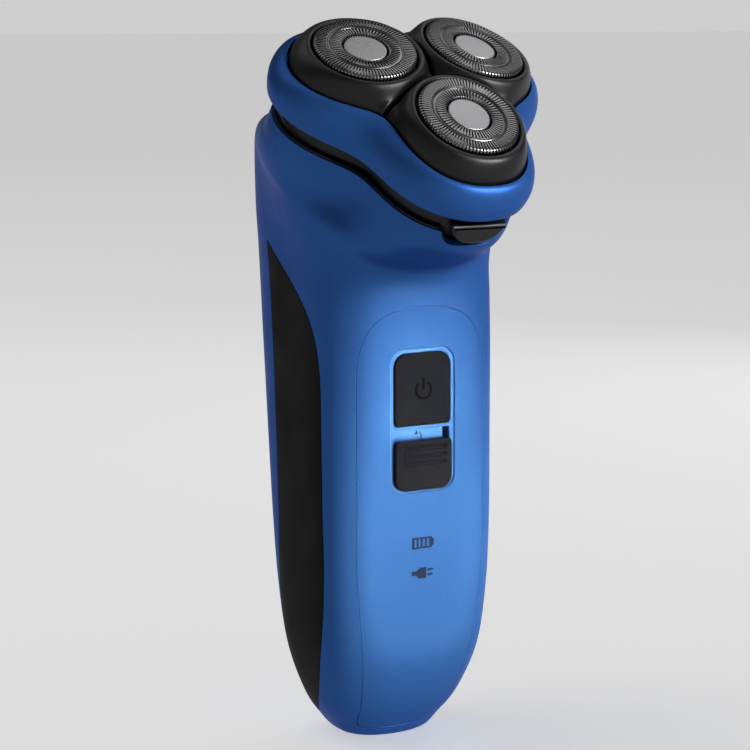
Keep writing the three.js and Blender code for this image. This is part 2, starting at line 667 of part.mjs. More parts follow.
function addDrive() {
  const { lobe, waist, top, foot, wall } = NECK;
  const outside = { lobe, waist };
  const skin = loft([
    lobedRing(outside, () => foot), lobedRing(outside, () => top + 0.8),
    lobedRing(shrink(outside, 0.7), () => top),
  ]);
  const gearRoom = lobedPlate(shrink(outside, wall), top + 1.5, foot + 2);
  const spindleHoles = angles(HEAD_COUNT).map((_, index) => {
    return rod(2, -top - 3, -top + 3, 16).translate(...spindlePlace(index).toArray());
  });
  const ears = [-1, 1].map((sign) => {
    const ear = crossRod(1.9, 2.8, HEAD_HINGE.v, -HEAD_HINGE.depth, 16);
    const low = [-1.4, waist - 0.8, -HEAD_HINGE.depth - 1.9];
    const web = block(low, [1.4, HEAD_HINGE.v, -HEAD_HINGE.depth + 1.2]);
    return join(ear, web).translate(sign * 5.3, 0, 0);
  });
  const pinHole = crossRod(HEAD_HINGE.pinRadius + GAP, 30, HEAD_HINGE.v, -HEAD_HINGE.depth);
  const neck = cut(join(cut(skin, gearRoom, ...spindleHoles), ...ears), pinHole);
  add(head, 'neck_housing', neck, BLACK);
  const hingePin = crossRod(HEAD_HINGE.pinRadius, 13, HEAD_HINGE.v, -HEAD_HINGE.depth);
  add(head, 'head_hinge_pin', hingePin, STEEL);

  const motorShaft = rod(1, -28, -20, 16);
  const pinion = slab(gearOutline(PINION_TEETH), -20.3, -18);
  add(head, 'motor_pinion', join(pinion, motorShaft), BRASS);

  angles(HEAD_COUNT).forEach((_, index) => {
    const name = HEAD_NAMES[index];
    const phase = 0.5 - (GEAR_TEETH * (lobeAngle(index) + Math.PI)) / (2 * Math.PI);
    const pinionPhase = (PINION_TEETH * lobeAngle(index)) / (2 * Math.PI);
    const meshed = phase - (pinionPhase - Math.round(pinionPhase));
    const toothed = slab(gearOutline(GEAR_TEETH, -meshed), -19.9, -18.3);
    const gear = add(head, `${name}_drive_gear`, cut(toothed, rod(1.8, -25, -10, 10)), WHITE_PLASTIC);
    gear.position.copy(spindlePlace(index));
    const spindle = turned([
      [0, -22.3], [1.2, -22.3], [1.2, -20.9], [1.5, -20.9], [1.5, -10], [1.3, -9.6],
      [1.3, -6.1], [0, -6.1],
    ], 10);
    add(head, `${name}_drive_spindle`, spindle, STEEL).position.copy(spindlePlace(index));
  });

  const bearings = angles(HEAD_COUNT).map((_, index) => {
    return rod(1.5, -30, -10, 16).translate(...spindlePlace(index).toArray());
  });
  const plate = lobedPlate(shrink(outside, wall + GAP + 0.4), 21.2, 22.6);
  add(head, 'gear_plate', cut(plate, rod(1.4, -30, -10, 16), ...bearings), WHITE_PLASTIC);

  const { radius, length } = MOTOR;
  const can = turned([
    [0, -MOTOR.top - length], [radius, -MOTOR.top - length], [radius, -MOTOR.top - 1],
    [radius - 1, -MOTOR.top], [0, -MOTOR.top],
  ], 24);
  add(head, 'motor', cut(can, rod(1.4, -29, -20, 16)), STEEL);
}

// ---------------------------------------------------------------- shaving unit

// The guard frame of a lobe drawn along +X: its Z is the guard's own axis.
function guardMatrix() {
  const lean = new THREE.Matrix4().makeRotationY(GUARD_LEAN);
  return lean.setPosition(GUARD_CIRCLE, 0, 0);
}

function ringTopDepth(angle) {
  return lobedRadius(angle, RING_CREST);
}

function addHeadFrame() {
  const count = 45;
  const section = angles(count).map((angle) => {
    const top = lobedRadius(angle, RING_TOP);
    const girth = lobedRadius(angle, RING_GIRTH);
    const foot = lobedRadius(angle, RING_FOOT);
    const crest = ringTopDepth(angle);
    const profile = [
      [top, RING_FOOT_DEPTH], [top, crest + 0.3], [top + 0.4, crest],
      [mix(top, girth, 0.62), mix(crest, 12, 0.3)], [mix(top, girth, 0.92), mix(crest, 12, 0.65)],
      [girth, 12], [foot, RING_FOOT_DEPTH],
    ];
    return profile.map(([radius, depth]) => {
      return new THREE.Vector3(radius * Math.cos(angle), radius * Math.sin(angle), -depth);
    });
  });
  const ring = closedBand(section);
  const { v, depth, pinRadius } = HEAD_HINGE;
  const knuckle = crossRod(1.9, 7, v, -depth, 16);
  const web = block([-3.5, v - 0.5, -depth], [3.5, v + 0.7, -RING_FOOT_DEPTH + 0.4]);
  const pinHole = crossRod(pinRadius + GAP, 30, v, -depth);
  add(head, 'head_frame', cut(join(ring, knuckle, web), pinHole), BLUE);

  const inside = shrink(RING_TOP, 0.5);
  const openings = angles(HEAD_COUNT).map((_, index) => {
    return rod(7, -20, 0, 16).translate(...spindlePlace(index).toArray());
  });
  add(head, 'retaining_frame', cut(lobedPlate(inside, 12.2, 13.4), ...openings, rod(2.3, -20, 0, 16)), BLACK);
  const knob = turned([
    [0, -15], [4, -15], [4.4, -14.5], [4.4, -13.7], [2, -13.7], [2, -11.9], [0, -11.9],
  ], 24);
  add(head, 'retaining_knob', knob, DARK_GREY);
}

// The three-lobed dome that the pods are cut from, with a lobe along +X.
function domeSolid() {
  const count = 36;
  const edge = shrink(RING_TOP, 0.45);
  const surface = (share, drop) => angles(count).map((angle) => {
    const turnedAngle = angle - Math.PI / 2;
    const radius = lobedRadius(turnedAngle, edge) * share;
    const depth = mix(1.9, ringTopDepth(turnedAngle), share ** 2.4) + drop;
    return new THREE.Vector3(radius * Math.cos(angle), radius * Math.sin(angle), -depth);
  });
  return loft([
    surface(0.3, 2.6), surface(0.7, 2.4), surface(1, 1.6),
    surface(1, 0), surface(0.85, 0), surface(0.65, 0), surface(0.3, 0),
  ]);
}

function podGeometry() {
  const apex = 0.7;
  const reach = 40;
  const spread = (reach - apex) * Math.tan(Math.PI / 3);
  const wedge = slab(polygon([[apex, 0], [reach, -spread], [reach, spread]]), -20, 10);
  const toGuard = guardMatrix();
  const petal = overlap(domeSolid(), wedge);
  const collar = rod(13.1, -8, -0.75, 24).applyMatrix4(toGuard);
  const bore = rod(GUARD_RADIUS + 0.45, -6.4, 5, 24).applyMatrix4(toGuard);
  const throat = rod(8.2, -12, -6, 14).applyMatrix4(toGuard);
  return cut(join(petal, collar), bore, throat);
}

function guardGeometry() {
  const rim = GUARD_RADIUS;
  return turned([
    [0, -1.35], [5.3, -1.35], [5.7, -0.6], [rim - 0.5, -0.9], [rim - 0.5, -4.6], [rim, -4.6],
    [rim, -0.6], [rim - 0.6, 0], [8.6, 0], [8.6, -0.35], [8.1, -0.35], [8.1, 0],
    [5.1, 0], [5.1, -0.85], [0, -0.85],
  ], 24);
}

function cutterGeometry() {
  const disc = turned([
    [0, -2.1], [3.6, -2.1], [3.6, -2.7], [10.1, -2.7], [10.1, -3.4], [3.6, -3.4], [3.6, -7.3],
    [2.6, -7.3], [2.6, -2.8], [0, -2.8],
  ], 16);
  const blades = Array.from({ length: BLADES }, (_, index) => {
    const blade = block([5.6, -0.25, -2.8], [9.9, 0.25, -1.3]);
    return blade.rotateZ((2 * Math.PI * index) / BLADES);
  });
  return join(disc, ...blades);
}

function addPods() {
  const pod = podGeometry();
  const guard = guardGeometry();
  const cap = turned([[0, -0.55], [4.75, -0.55], [4.75, 0], [0, 0]], 20);
  const cutter = cutterGeometry();
  HEAD_NAMES.forEach((name, index) => {
    const lobeGroup = new THREE.Group();
    lobeGroup.rotation.z = lobeAngle(index);
    head.add(lobeGroup);
    add(lobeGroup, `${name}_pod`, pod, BLACK);
    const guardGroup = new THREE.Group();
    guardGroup.position.x = GUARD_CIRCLE;
    guardGroup.rotation.y = GUARD_LEAN;
    lobeGroup.add(guardGroup);
    add(guardGroup, `${name}_guard`, guard, STEEL);
    add(guardGroup, `${name}_guard_cap`, cap, CAP_STEEL);
    add(guardGroup, `${name}_cutter`, cutter, STEEL);
  });
}

function addReleaseButton() {
  const shape = new THREE.Shape();
  shape.moveTo(-6.4, -16.6);
  shape.lineTo(6.4, -16.6);
  shape.bezierCurveTo(6.4, -20.5, 4, -22.6, 0, -22.6);
  shape.bezierCurveTo(-4, -22.6, -6.4, -20.5, -6.4, -16.6);
  add(head, 'release_button', frontSlab(shape, -33.2, -31.3), BLACK);
}

addShells();
addControls();
addInside();
addInlet();
addTrimmer();
addDrive();
addHeadFrame();
addPods();
addReleaseButton();

export default shaver;
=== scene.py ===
import json
import math

import bpy
import numpy as np
from mathutils import Matrix, Vector
from mathutils.bvhtree import BVHTree

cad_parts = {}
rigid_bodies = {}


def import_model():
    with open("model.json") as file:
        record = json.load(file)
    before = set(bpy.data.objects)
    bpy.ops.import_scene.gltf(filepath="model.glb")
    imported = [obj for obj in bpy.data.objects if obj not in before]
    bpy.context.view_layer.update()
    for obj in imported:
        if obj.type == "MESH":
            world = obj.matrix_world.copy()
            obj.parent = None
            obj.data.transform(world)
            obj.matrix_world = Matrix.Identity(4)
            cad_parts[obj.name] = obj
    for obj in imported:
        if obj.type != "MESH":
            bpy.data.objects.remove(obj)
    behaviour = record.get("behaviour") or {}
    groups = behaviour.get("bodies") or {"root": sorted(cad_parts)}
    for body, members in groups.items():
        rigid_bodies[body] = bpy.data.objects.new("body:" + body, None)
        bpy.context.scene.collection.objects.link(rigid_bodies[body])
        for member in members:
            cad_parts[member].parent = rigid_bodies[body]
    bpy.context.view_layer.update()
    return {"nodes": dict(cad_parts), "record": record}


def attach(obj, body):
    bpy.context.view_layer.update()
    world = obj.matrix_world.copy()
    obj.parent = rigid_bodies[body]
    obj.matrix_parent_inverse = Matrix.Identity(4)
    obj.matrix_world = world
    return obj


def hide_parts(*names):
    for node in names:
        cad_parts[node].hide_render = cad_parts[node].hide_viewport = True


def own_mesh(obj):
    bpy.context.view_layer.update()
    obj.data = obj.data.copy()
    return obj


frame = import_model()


# Everything below is in millimetres in the frame of the part, and piece() turns it into metres.
MM = 0.001

# ---- driving dimensions

SHELL = 1.7                   # thickness of the blue shells
COVER = 2.0                   # thickness of the trimmer's cover
SEAM = 0.2                    # from a parting line to the edge of a shell
HEAD_ORIGIN = np.array([0.0, -25.06, 151.9])
LEAN = math.radians(35.15)
HEAD_NAMES = ("front", "right", "left")
GUARD_CIRCLE = 16.05
GUARD_RADIUS = 11.4
GUARD_LEAN = math.radians(6.24)
RING_TOP = (31.5, 18.7)
RING_CREST = (7.0, 5.4)
RING_GIRTH = (34.5, 23.6)
RING_FOOT = (34.0, 23.4)
RING_FOOT_DEPTH = 15.0
NECK = (29.6, 18.8)
COLUMNS = 260
ROW_STEP = 0.8

# across, towards the back, and up out of the guard plane
HEAD_AXES = np.array([
    (1, 0, 0), (0, math.cos(LEAN), math.sin(LEAN)), (0, -math.sin(LEAN), math.cos(LEAN)),
])


def from_head(points):
    """Head coordinates to part coordinates."""
    return HEAD_ORIGIN + np.asarray(points, float) @ HEAD_AXES


def to_head(points):
    return (np.asarray(points, float) - HEAD_ORIGIN) @ HEAD_AXES.T


def unit(vectors):
    length = np.linalg.norm(vectors, axis=-1, keepdims=True)
    return vectors / np.maximum(length, 1e-9)


def mix(a, b, share):
    return a + (b - a) * share


def smoothstep(low, high, value):
    t = np.clip((value - low) / (high - low), 0, 1)
    return t * t * (3 - 2 * t)


def full_turn(count):
    return np.linspace(0, 2 * math.pi, count, endpoint=False)


# ---- body surface

def waistness(angle):
    """0 at the middle of a lobe, 1 at a waist; the first lobe points to the front."""
    return ((1 - np.cos(3 * (angle + math.pi / 2))) / 2) ** 1.35


def lobed(angle, size):
    return size[0] - (size[0] - size[1]) * waistness(angle)


def collar_station(front, back, depth, half, back_power, share):
    """A section parallel to the guard plane: front and back distances from the head axis."""
    low = from_head([0, front, -depth])
    high = from_head([0, back, -depth])
    front_power = 2.8 if share < 0.5 else 2.5
    return (low[1], low[2], high[1], high[2], half, front_power, back_power, share)


# front y, front z, back y, back z, half width, front squareness, back squareness, lobed share
STATIONS = np.array([
    (-7.0, 0, 9.4, 0, 9.4, 2.3, 2.2, 0),
    (-8.0, 0.8, 11.3, 0.8, 11.2, 2.4, 2.3, 0),
    (-9.4, 3.2, 12.9, 3.2, 13.4, 2.5, 2.5, 0),
    (-13.2, 9, 13.8, 9, 17.1, 2.9, 2.9, 0),
    (-17.0, 20, 15.6, 20, 20.5, 3.5, 3.4, 0),
    (-18.2, 34, 17.5, 34, 21.9, 4.0, 3.7, 0),
    (-18.8, 50, 19.4, 50, 22.3, 4.2, 3.9, 0),
    (-18.9, 70, 21.6, 70, 22.4, 4.2, 4.0, 0),
    (-18.9, 88, 23.8, 90, 22.5, 4.2, 4.0, 0),
    (-18.9, 99, 25.7, 112, 22.7, 3.9, 4.0, 0),
    (-19.5, 105.5, 26.8, 126, 23.4, 3.3, 4.0, 0.05),
    collar_station(-22.3, 35.2, 37.5, 25.6, 3.6, 0.2),
    collar_station(-25.6, 33.4, 33, 27.6, 3.2, 0.45),
    collar_station(-29.0, 29.6, 29, 28.4, 2.8, 0.75),
    collar_station(-31.3, 25.0, 25.5, 28.4, 2.6, 0.95),
    collar_station(-32.1, 22.6, 22.5, 28.0, 2.6, 1),
    collar_station(-32.0, 21.4, 20, 27.7, 2.6, 1),
])


def station_at(place):
    """Catmull-Rom between neighbouring stations."""
    last = len(STATIONS) - 1
    first = min(int(place), last - 1)
    t = place - first
    b, c = STATIONS[first], STATIONS[first + 1]
    a = STATIONS[first - 1] if first > 0 else 2 * b - c
    d = STATIONS[first + 2] if first + 2 <= last else 2 * c - b
    return 0.5 * (2 * b + (c - a) * t + (2 * a - 5 * b + 4 * c - d) * t * t
                  + (3 * b - a - 3 * c + d) * t * t * t)


def body_ring(place, angle):
    front_y, front_z, back_y, back_z, half, front_power, back_power, share = station_at(place)
    length = math.hypot(back_y - front_y, back_z - front_z)
    along_y = (back_y - front_y) / length
    along_z = (back_z - front_z) / length
    to_handle = -front_y / along_y
    to_head_axis = ((HEAD_ORIGIN[1] - front_y) * math.cos(LEAN)
                    + (HEAD_ORIGIN[2] - front_z) * math.sin(LEAN))
    front = mix(to_handle, to_head_axis, share)
    centre_y = front_y + along_y * front
    centre_z = front_z + along_z * front
    back = length - front
    across, along = np.cos(angle), np.sin(angle)
    power = np.where(along < 0, front_power, back_power)
    depth = np.where(along < 0, front, back)
    squared = (np.abs(across / half) ** power + np.abs(along / depth) ** power) ** (-1 / power)
    three_lobed = mix(lobed(angle, (front, max(21.4, front * 0.66))), back, np.clip(along, 0, None) ** 4)
    radius = mix(squared, three_lobed, share)
    v = radius * along
    return np.stack([radius * across, centre_y + along_y * v, centre_z + along_z * v], -1)


def grid_faces(rows, columns, closed=True):
    """Quads over a grid of points, facing outwards when rows go up and columns go anticlockwise."""
    across = columns if closed else columns - 1
    row, column = np.meshgrid(np.arange(rows - 1), np.arange(across), indexing="ij")
    following = (column + 1) % columns
    a = row * columns + column
    b = row * columns + following
    return np.stack([a, b, b + columns, a + columns], -1).reshape(-1, 4)


def wrapped_faces(rows, columns):
    """Quads over a grid that closes on itself both ways."""
    return grid_faces(rows + 1, columns) % (rows * columns)


def ended_faces(rows, columns):
    """Quads over a closed grid, and a face over each end."""
    first = tuple(range(columns - 1, -1, -1))
    last = tuple((rows - 1) * columns + k for k in range(columns))
    return [*grid_faces(rows, columns), first, last]


def grid_normals(points, closed=True):
    """Normals of a grid of points from its central differences."""
    if closed:
        along_columns = np.roll(points, -1, 1) - np.roll(points, 1, 1)
    else:
        along_columns = np.gradient(points, axis=1)
    along_rows = np.gradient(points, axis=0)
    return unit(np.cross(along_columns, along_rows))


class Skin:
    """Vertices, their normals, and faces of an open or closed surface."""

    def __init__(self, points, normals, faces):
        self.points = np.asarray(points, float).reshape(-1, 3)
        self.normals = np.asarray(normals, float).reshape(-1, 3)
        self.faces = [tuple(face) for face in faces]


def body_skin():
    """The whole outside of the body, from the flat base to the rim of the collar."""
    angle = full_turn(COLUMNS)
    places = []
    for index in range(len(STATIONS) - 1):
        a, b = STATIONS[index], STATIONS[index + 1]
        front, back = math.hypot(*(b - a)[:2]), math.hypot(*(b - a)[2:4])
        span = max(front, back, b[4] - a[4])
        steps = max(2, math.ceil(span / ROW_STEP))
        places.extend(index + np.arange(steps) / steps)
    places.append(len(STATIONS) - 1)
    rings = [body_ring(place, angle) for place in places]
    middle = np.array([0, 1.2, 0])
    base = [mix(middle, rings[0], share) for share in np.linspace(0.02, 0.96, 22)]
    points = np.array(base + rings)
    normals = grid_normals(points)
    normals[:len(base)] = (0, 0, -1)
    bottom = tuple(range(COLUMNS - 1, -1, -1))
    faces = [*grid_faces(len(points), COLUMNS), bottom]
    return Skin(points, normals, faces)


# ---- cutting a skin along a line

def clip(skin, values):
    """The part of a skin where `values` is below zero, cut exactly along the zero line."""
    values = np.where(np.abs(values) < 1e-6, 1e-6, values)
    inside = values < 0
    points, normals = list(skin.points), list(skin.normals)
    crossing = {}
    kept = []

    def cross(i, j):
        key = (min(i, j), max(i, j))
        if key not in crossing:
            share = values[i] / (values[i] - values[j])
            crossing[key] = len(points)
            points.append(mix(skin.points[i], skin.points[j], share))
            normals.append(unit(mix(skin.normals[i], skin.normals[j], share)))
        return crossing[key]

    for face in skin.faces:
        count = sum(inside[v] for v in face)
        if count == len(face):
            kept.append(face)
        elif count:
            polygon = []
            for k, v in enumerate(face):
                following = face[(k + 1) % len(face)]
                if inside[v]:
                    polygon.append(v)
                if inside[v] != inside[following]:
                    polygon.append(cross(v, following))
            kept.append(tuple(polygon))
    return tidy(np.array(points), np.array(normals), kept)


def boundary_edges(faces):
    """Directed edges that only one face uses."""
    edges = {}
    for face in faces:
        for k, v in enumerate(face):
            edges[(v, face[(k + 1) % len(face)])] = True
    return [edge for edge in edges if (edge[1], edge[0]) not in edges]


def tidy(points, normals, faces, shortest=0.1):
    """Joins the ends of very short edges on the border, and drops what no face uses."""
    target = np.arange(len(points))
    for a, b in boundary_edges(faces):
        if target[a] == a and target[b] == b and np.linalg.norm(points[a] - points[b]) < shortest:
            target[b] = a
    cleaned = []
    for face in faces:
        ring = [target[v] for v in face]
        ring = [v for k, v in enumerate(ring) if v != ring[k - 1]]
        if len(set(ring)) > 2:
            cleaned.append(ring)
    used = sorted({v for face in cleaned for v in face})
    number = {v: k for k, v in enumerate(used)}
    faces = [tuple(number[v] for v in face) for face in cleaned]
    return Skin(points[used], normals[used], faces)


def thicken(skin, depth, bevel=0.15, steps=3):
    """Closes an open skin into a plate with rounded edges that lies inside the surface."""
    points, normals, faces = skin.points, skin.normals, list(skin.faces)
    count = len(points)
    edges = boundary_edges(faces)
    after = {a: b for a, b in edges}
    before = {b: a for a, b in edges}
    border = [v for v in after if v in before]
    tangent = unit(points[[after[v] for v in border]] - points[[before[v] for v in border]])
    normal = normals[border]
    outward = unit(np.cross(tangent, normal))
    all_points, all_normals = [points], [normals]
    rings = [dict(zip(border, border))]
    start = count
    for step in range(1, steps + 1):
        turn = math.pi / 2 * step / steps
        offset = outward * math.sin(turn) - normal * (1 - math.cos(turn))
        all_points.append(points[border] + bevel * offset)
        all_normals.append(normal * math.cos(turn) + outward * math.sin(turn))
        rings.append({v: start + k for k, v in enumerate(border)})
        start += len(border)
    all_points.append(points[border] + bevel * outward - depth * normal)
    all_normals.append(outward)
    rings.append({v: start + k for k, v in enumerate(border)})
    start += len(border)
    all_points.append(points - depth * normals)
    all_normals.append(-normals)
    rings.append({v: start + v for v in border})
    for upper, lower in zip(rings, rings[1:]):
        for a, b in edges:
            if a in upper and b in upper:
                faces.append((upper[b], upper[a], lower[a], lower[b]))
    faces.extend(tuple(start + v for v in reversed(face)) for face in skin.faces)
    return Skin(np.concatenate(all_points), np.concatenate(all_normals), faces)


# ---- outlines as signed distances

def bezier(start, first, second, end, steps=24):
    t = np.linspace(0, 1, steps, endpoint=False)[:, None]
    start, first, second, end = (np.array(p, float) for p in (start, first, second, end))
    near, far = (1 - t) ** 2, t ** 2
    return near * (1 - t) * start + 3 * near * t * first + 3 * (1 - t) * far * second + far * t * end


def polygon_distance(x, y, outline):
    """Signed distance to a closed outline, negative inside."""
    outline = np.asarray(outline, float)
    following = np.roll(outline, -1, 0)
    best = np.full(x.shape, np.inf)
    crossings = np.zeros(x.shape, bool)
    for (x0, y0), (x1, y1) in zip(outline, following):
        dx, dy = x1 - x0, y1 - y0
        share = np.clip(((x - x0) * dx + (y - y0) * dy) / (dx * dx + dy * dy), 0, 1)
        best = np.minimum(best, (x - x0 - share * dx) ** 2 + (y - y0 - share * dy) ** 2)
        if y0 != y1:
            spans = (y0 > y) != (y1 > y)
            crossings ^= spans & (x < dx * (y - y0) / (y1 - y0) + x0)
    return np.where(crossings, -1, 1) * np.sqrt(best)


def box_distance(x, y, low, high, radius):
    """Signed distance to a rectangle with round corners."""
    cx, cy = (low[0] + high[0]) / 2, (low[1] + high[1]) / 2
    qx = np.abs(x - cx) - (high[0] - low[0]) / 2 + radius
    qy = np.abs(y - cy) - (high[1] - low[1]) / 2 + radius
    outside = np.hypot(np.maximum(qx, 0), np.maximum(qy, 0))
    return outside + np.minimum(np.maximum(qx, qy), 0) - radius


def where_only(region, values):
    """The values inside a region, and above zero everywhere else."""
    return np.where(region, values, np.maximum(values, 1))


GRIP_OUTLINE = np.concatenate([
    bezier((11.5, 113.5), (-5, 101), (-11.3, 99), (-11.4, 80), 40),
    bezier((-11.4, 80), (-11.45, 70), (-11.5, 58), (-11.6, 45), 4),
    bezier((-11.6, 45), (-11.4, 27), (-7, 14), (3.2, 5), 30),
    bezier((3.2, 5), (8, 6), (11.2, 14), (10.6, 24)),
    bezier((10.6, 24), (9.6, 33), (8.2, 42), (8.2, 52)),
    bezier((8.2, 52), (8.6, 75), (9.6, 95), (11.5, 113.5), 30),
])


def grip_field(points):
    """Below zero on the grips of both sides."""
    values = polygon_distance(points[:, 1], points[:, 2], GRIP_OUTLINE)
    return where_only(np.abs(points[:, 0]) > 10, values)


PANEL = {"half": 16.3, "low": 2.4, "high": 99.8, "foot": 11.2}


def panel_outline():
    half, foot, low, high = PANEL["half"], PANEL["foot"], PANEL["low"], PANEL["high"]
    right = np.concatenate([
        bezier((0, low), (3, low), (foot - 5, low), (foot - 3, low), 4),
        bezier((foot - 3, low), (foot - 1, low), (foot, low + 1.4), (foot + 0.4, low + 4.5), 16),
        bezier((foot + 0.4, low + 4.5), (foot + 2.6, low + 16), (half, 34), (half, 48)),
        bezier((half, 48), (half, 60), (half, 72), (half, 84), 4),
        bezier((half, 84), (half, 95), (12, high), (0, high), 40),
    ])
    left = right[1:][::-1] * (-1, 1)
    return np.concatenate([right, [(0, high)], left])


def panel_field(points):
    values = polygon_distance(points[:, 0], points[:, 2], panel_outline())
    return where_only(points[:, 1] < -4, values)


REAR_OUTLINE = [(-3, -20), (60, -20), (60, 160), (13.2, 160), (13.2, 128), (11.6, 113.5), (-3, 100)]


def rear_field(points):
    """Below zero behind the seam of the two half shells."""
    return polygon_distance(points[:, 1], points[:, 2], REAR_OUTLINE)


TRIMMER = {"half": 11.5, "low": 109.3, "high": 139.0, "pivot_y": 24.0, "pivot_z": 109.8,
           "corner": 1.6, "lug_inner": 6.4, "lug_top": 111.2}


def trimmer_field(points, grow, foot, lug_grow):
    """Below zero inside the trimmer's window, which leaves room for the two hinge lugs."""
    low = (-TRIMMER["half"] - grow, TRIMMER["low"] - foot)
    high = (TRIMMER["half"] + grow, TRIMMER["high"] + grow)
    values = box_distance(points[:, 0], points[:, 2], low, high, TRIMMER["corner"])
    lug_low, lug_high = (TRIMMER["lug_inner"], 90), (14, TRIMMER["lug_top"])
    lug = box_distance(np.abs(points[:, 0]), points[:, 2], lug_low, lug_high, 0.6) - lug_grow
    return np.where(points[:, 1] > 15, np.maximum(values, -lug), 1)


INLET = {"y": 4.5, "width": 10.0, "depth": 5.4}


def inlet_field(points):
    half, radius = INLET["width"] / 2, INLET["depth"] / 2
    y = INLET["y"]
    values = box_distance(points[:, 0], points[:, 1], (-half, y - radius), (half, y + radius), radius)
    return where_only(points[:, 2] < 0.2, values)


SCREW = {"x": 8.0, "z": 22.0, "hole": 2.5, "head": 1.95, "level": 12.3, "height": 1.8}


def screw_field(points, sign):
    values = np.hypot(points[:, 0] - sign * SCREW["x"], points[:, 2] - SCREW["z"]) - SCREW["hole"]
    return where_only(points[:, 1] > 8, values)


def notch_field(points):
    """Below zero in the notch of the collar that the release button sits in."""
    across, v, up = to_head(points).T
    values = box_distance(across, up, (-7.2, -23.0), (7.2, -12.0), 3.4)
    return where_only(v < -24, values)


BEZEL = {"low": (-8.3, 58.2), "high": (8.3, 90.6), "corner": 3.7, "front": -18.5}


def bezel_field(points):
    values = box_distance(points[:, 0], points[:, 2], BEZEL["low"], BEZEL["high"], BEZEL["corner"])
    return where_only(points[:, 1] < -10, values)


# ---- materials

SMUDGE_SCALE = 90
COAT_ROUGHNESS = 0.2
ROUGHNESS_SPREAD = 0.06
GRAIN_HEIGHT = 0.0001


def set_inputs(node, values):
    for name, value in values.items():
        node.inputs[name].default_value = value


def surface(name, color, roughness, metallic=0.0, grain=900.0, bump=0.05, tint=0.08, coat=0.0,
            specular=0.5, glow=0.0, edge=(1, 1, 1)):
    """A procedural finish: fine grain, soft patches in the roughness, and a change of tone."""
    made = bpy.data.materials.new(name)
    made.use_nodes = True
    nodes, links = made.node_tree.nodes, made.node_tree.links
    shader = nodes["Principled BSDF"]
    set_inputs(shader, {
        "Metallic": metallic, "Specular IOR Level": specular, "Specular Tint": (*edge, 1),
        "Coat Weight": coat, "Coat Roughness": COAT_ROUGHNESS, "Emission Strength": glow,
    })
    place = nodes.new("ShaderNodeTexCoord").outputs["Object"]

    def noise(scale, detail):
        texture = nodes.new("ShaderNodeTexNoise")
        set_inputs(texture, {"Scale": scale, "Detail": detail})
        links.new(place, texture.inputs["Vector"])
        return texture.outputs["Fac"]

    fine, patches = noise(grain, 3), noise(SMUDGE_SCALE, 4)
    tone = nodes.new("ShaderNodeMix")
    tone.data_type = "RGBA"
    darker = [channel * (1 - tint) for channel in color]
    lighter = [min(channel * (1 + tint), 1) for channel in color]
    set_inputs(tone, {"A": (*darker, 1), "B": (*lighter, 1)})
    links.new(fine, tone.inputs["Factor"])
    links.new(tone.outputs["Result"], shader.inputs["Base Color"])

    rough = nodes.new("ShaderNodeMapRange")
    least, most = max(roughness - ROUGHNESS_SPREAD, 0.02), roughness + ROUGHNESS_SPREAD
    set_inputs(rough, {"From Min": 0.3, "From Max": 0.7, "To Min": least, "To Max": most})
    links.new(patches, rough.inputs["Value"])
    links.new(rough.outputs["Result"], shader.inputs["Roughness"])

    relief = nodes.new("ShaderNodeBump")
    set_inputs(relief, {"Strength": bump, "Distance": GRAIN_HEIGHT})
    links.new(fine, relief.inputs["Height"])
    links.new(relief.outputs["Normal"], shader.inputs["Normal"])
    return made


MATERIALS = {
    "blue": surface("blue_satin_paint", (0.022, 0.080, 0.27), 0.4, metallic=0.5, grain=4200, bump=0.08,
                    tint=0.10, specular=0.12, edge=(0.12, 0.3, 0.7)),
    "blue_light": surface("blue_switch_frame", (0.033, 0.12, 0.36), 0.4, metallic=0.5, specular=0.15,
                          grain=2500),
    "ink": surface("button_mark", (0.0015, 0.0015, 0.002), 0.6, grain=2500, specular=0.02),
    "black": surface("black_satin_plastic", (0.005, 0.005, 0.006), 0.38, grain=3000, bump=0.12, tint=0.2,
                     specular=0.25),
    "grip": surface("black_soft_grip", (0.005, 0.005, 0.006), 0.6, grain=2200, bump=0.35, tint=0.25,
                    specular=0.06),
    "button": surface("dark_grey_plastic", (0.005, 0.0055, 0.009), 0.45, specular=0.05,
                      edge=(0.7, 0.8, 1), grain=2600, bump=0.2, tint=0.12),
    "guard": surface("guard_steel", (0.20, 0.20, 0.205), 0.30, metallic=1, grain=5200, bump=0.1,
                     tint=0.15),
    "cap": surface("cap_steel", (0.34, 0.34, 0.35), 0.4, metallic=0.9, grain=6500, bump=0.25, tint=0.12),
    "steel": surface("bright_steel", (0.55, 0.55, 0.56), 0.3, metallic=1, grain=1800, bump=0.08),
    "inner": surface("inner_plastic", (0.72, 0.72, 0.69), 0.45, grain=1500),
    "brass": surface("brass", (0.62, 0.46, 0.18), 0.3, metallic=1, grain=1500),
    "board": surface("board_green", (0.02, 0.17, 0.06), 0.4, grain=1200, tint=0.2),
    "cell": surface("cell_sleeve", (0.03, 0.22, 0.08), 0.3, grain=900, bump=0.03, coat=0.4),
    "motor": surface("motor_can", (0.5, 0.5, 0.52), 0.35, metallic=1, grain=1400, bump=0.06),
    "clear": surface("light_guide", (0.8, 0.84, 0.9), 0.25, grain=900, bump=0.03),
    "print": surface("printed_mark", (0.004, 0.010, 0.035), 0.55, grain=2500, specular=0.05),
}

